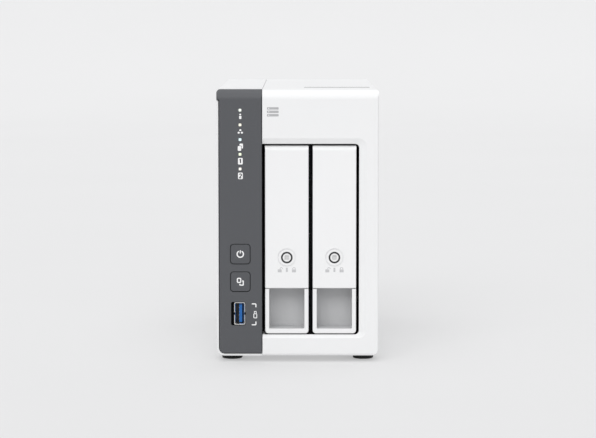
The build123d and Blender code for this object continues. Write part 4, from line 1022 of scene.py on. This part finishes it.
def makeJackLights():
    # two lenses on each network socket, beside its latch
    low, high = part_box("lan_jacks")
    half = jackInside["half"] / mm
    x = high.x / mm - jackLights["fromEdge"]
    for kind, side in (("link", 1), ("traffic", -1)):
        places = [(-x, z + side * jackLights["spread"]) for z in (low.z / mm + half, high.z / mm - half)]
        shells = [tile(place, *jackLights["size"], jackLights["corner"], rise=jackLights["rise"])
                  for place in places]
        lens = makeLens(f"{kind}Lights", jackLights[kind])
        buildPiece(f"{kind}Lights", onBack(shells, high.y), lens, "chassis")


makeJackLights()

driveLabel = {"size": (50.0, 58.0), "corner": 2.0, "fromBack": 39.5, "drop": 4.0,
              "bars": ((20, 30, 5.0), (14, 38, 1.6), (9, 34, 1.6), (4, 38, 1.6)), "barsFrom": -22,
              "codeLow": -24, "codeHigh": -14, "codeHalf": 20, "codeLines": 26}


def makeDriveLabels():
    # a blank white label with plain bars and a row of upright lines on the lid
    sizes, right = driveLabel, (0, -1, 0)
    widths = 0.35 + 0.5 * (np.sin(np.arange(sizes["codeLines"]) * 2.4) ** 2)
    places = np.linspace(-sizes["codeHalf"], sizes["codeHalf"], sizes["codeLines"])
    sheet = [tile((0, 0), *sizes["size"], sizes["corner"], rise=0.08)]
    marks = [tile((sizes["barsFrom"] + long / 2, up), long, thick, 0.3, rise=0.12)
             for up, long, thick in sizes["bars"]]
    marks += [line((x, sizes["codeLow"]), (x, sizes["codeHigh"]), width=width, rise=0.12)
              for x, width in zip(places, widths)]
    for number in (1, 2):
        low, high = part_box(f"tray_{number}_drive_cover")
        origin = (low.x, high.y - sizes["fromBack"] * mm, (low.z + high.z) / 2 - sizes["drop"] * mm)
        body = f"tray_{number}"
        buildPiece(f"driveLabel{number}", onFace(sheet, origin, right), whiteInk, body)
        buildPiece(f"driveLabelMarks{number}", onFace(marks, origin, right), greyInk, body)


makeDriveLabels()

# each package: right, up, width, height and thickness in millimetres, from near the board's middle
boardChips = {"forward": 2.0, "corner": 0.3,
              "parts": ((-14, 14, 9, 6, 0.9), (12, 12, 12, 12, 1.1), (14, -12, 8, 10, 0.9),
                        (-10, -4, 5, 6, 0.8), (-18, -18, 6, 4, 0.8))}


def makeDriveChips():
    # packages on the outer face of each drive's electronics board
    for number in (1, 2):
        low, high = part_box(f"tray_{number}_drive_board")
        y, z = (low.y + high.y) / 2 - boardChips["forward"] * mm, (low.z + high.z) / 2
        shells = [tile((right, up), wide, tall, boardChips["corner"], rise=thick)
                  for right, up, wide, tall, thick in boardChips["parts"]]
        buildPiece(f"driveChips{number}", onFace(shells, (high.x, y, z), (0, 1, 0)), chipEpoxy,
                   f"tray_{number}")


makeDriveChips()
print("fittings done")


# camera, floor and light

cameraPlace = {"side": 0.0002, "distance": 1.450, "height": 0.2213, "pitch": 5.142, "lens": 139.86}


def makeCamera():
    data = bpy.data.cameras.new("camera")
    data.lens, data.sensor_width = cameraPlace["lens"], 36.0
    data.clip_start, data.clip_end = 0.01, 60.0
    camera = bpy.data.objects.new("camera", data)
    camera.location = (cameraPlace["side"], frontY - cameraPlace["distance"], cameraPlace["height"])
    camera.rotation_euler = (math.radians(90 - cameraPlace["pitch"]), 0.0, 0.0)
    bpy.context.scene.collection.objects.link(camera)
    bpy.context.scene.camera = camera


floorShape = {"hub": 0.02, "flat": 3.2, "sweep": 1.6, "rise": 1.7, "steps": 24, "spokes": 96,
              "colour": (0.77, 0.77, 0.773), "upper": (0.555, 0.555, 0.558), "glow": 0.40}


def makeFloor():
    # a dish: flat out to one radius, then a quarter circle up into a wall, turned about Z
    flat, sweep, rise, steps = (floorShape[key] for key in ("flat", "sweep", "rise", "steps"))
    turn = np.linspace(0, math.pi / 2, steps)[1:]
    level = np.linspace(floorShape["hub"], flat, steps)
    radius = np.concatenate([level, flat + sweep * np.sin(turn), [flat + sweep]])
    height = np.concatenate([np.zeros(steps), sweep * (1 - np.cos(turn)), [rise]])
    angle = np.linspace(0, 2 * math.pi, floorShape["spokes"], endpoint=False)
    points = np.stack([np.multiply.outer(radius, np.cos(angle)), np.multiply.outer(radius, np.sin(angle)),
                       np.broadcast_to(height[:, None], (len(radius), len(angle)))], axis=-1).reshape(-1, 3)
    faces = [list(map(int, face)) for face in gridFaces(len(radius), len(angle))]
    faces.append(list(range(len(angle))))
    mesh = bpy.data.meshes.new("floor")
    mesh.from_pydata(points.tolist(), [], faces)
    mesh.polygons.foreach_set("use_smooth", [True] * len(mesh.polygons))
    finish = Finish("floorPaint")
    # paint a little darker up the sweep, which faces the key light
    cloud, climb = finish.noise(3.0, 2.0), finish.axes()[2].fit(0.0, rise)
    tone = finish.mix(cloud, shade(floorShape["colour"], 0.99), shade(floorShape["colour"], 1.01))
    tone = finish.mix(climb, tone, floorShape["upper"])
    # part of its light comes from the floor itself, so shadows on it stay pale
    glow = floorShape["glow"]
    given = finish.mix(glow, tone, (0.0, 0.0, 0.0))
    mesh.materials.append(finish.set(colour=given, glow=tone, glowStrength=glow, roughness=0.85,
                                     specular=0.1))
    floor = bpy.data.objects.new("floor", mesh)
    bpy.context.scene.collection.objects.link(floor)


softLights = {
    "key": {"height": 28.0, "turn": -10.0, "strength": 1.28, "spread": 50.0},
    "over": {"height": 84.0, "turn": 0.0, "strength": 0.80, "spread": 60.0},
}


def makeSoftLights():
    # broad suns in front and overhead: height above the floor, and turn from straight in front, in degrees
    for name, sizes in softLights.items():
        data = bpy.data.lights.new(name, "SUN")
        data.energy, data.angle = sizes["strength"], math.radians(sizes["spread"])
        lamp = bpy.data.objects.new(name, data)
        lamp.rotation_euler = (math.radians(90 - sizes["height"]), 0.0, math.radians(sizes["turn"]))
        bpy.context.scene.collection.objects.link(lamp)


sky = {"colour": (0.985, 0.99, 1.0), "strength": 0.70}


def makeSky():
    world = bpy.data.worlds.new("sky")
    world.use_nodes = True
    background = world.node_tree.nodes["Background"]
    background.inputs["Color"].default_value = (*sky["colour"], 1.0)
    background.inputs["Strength"].default_value = sky["strength"]
    bpy.context.scene.world = world


makeCamera()
makeFloor()
makeSoftLights()
makeSky()
bpy.context.scene.view_settings.view_transform = "Standard"
print("stage done")
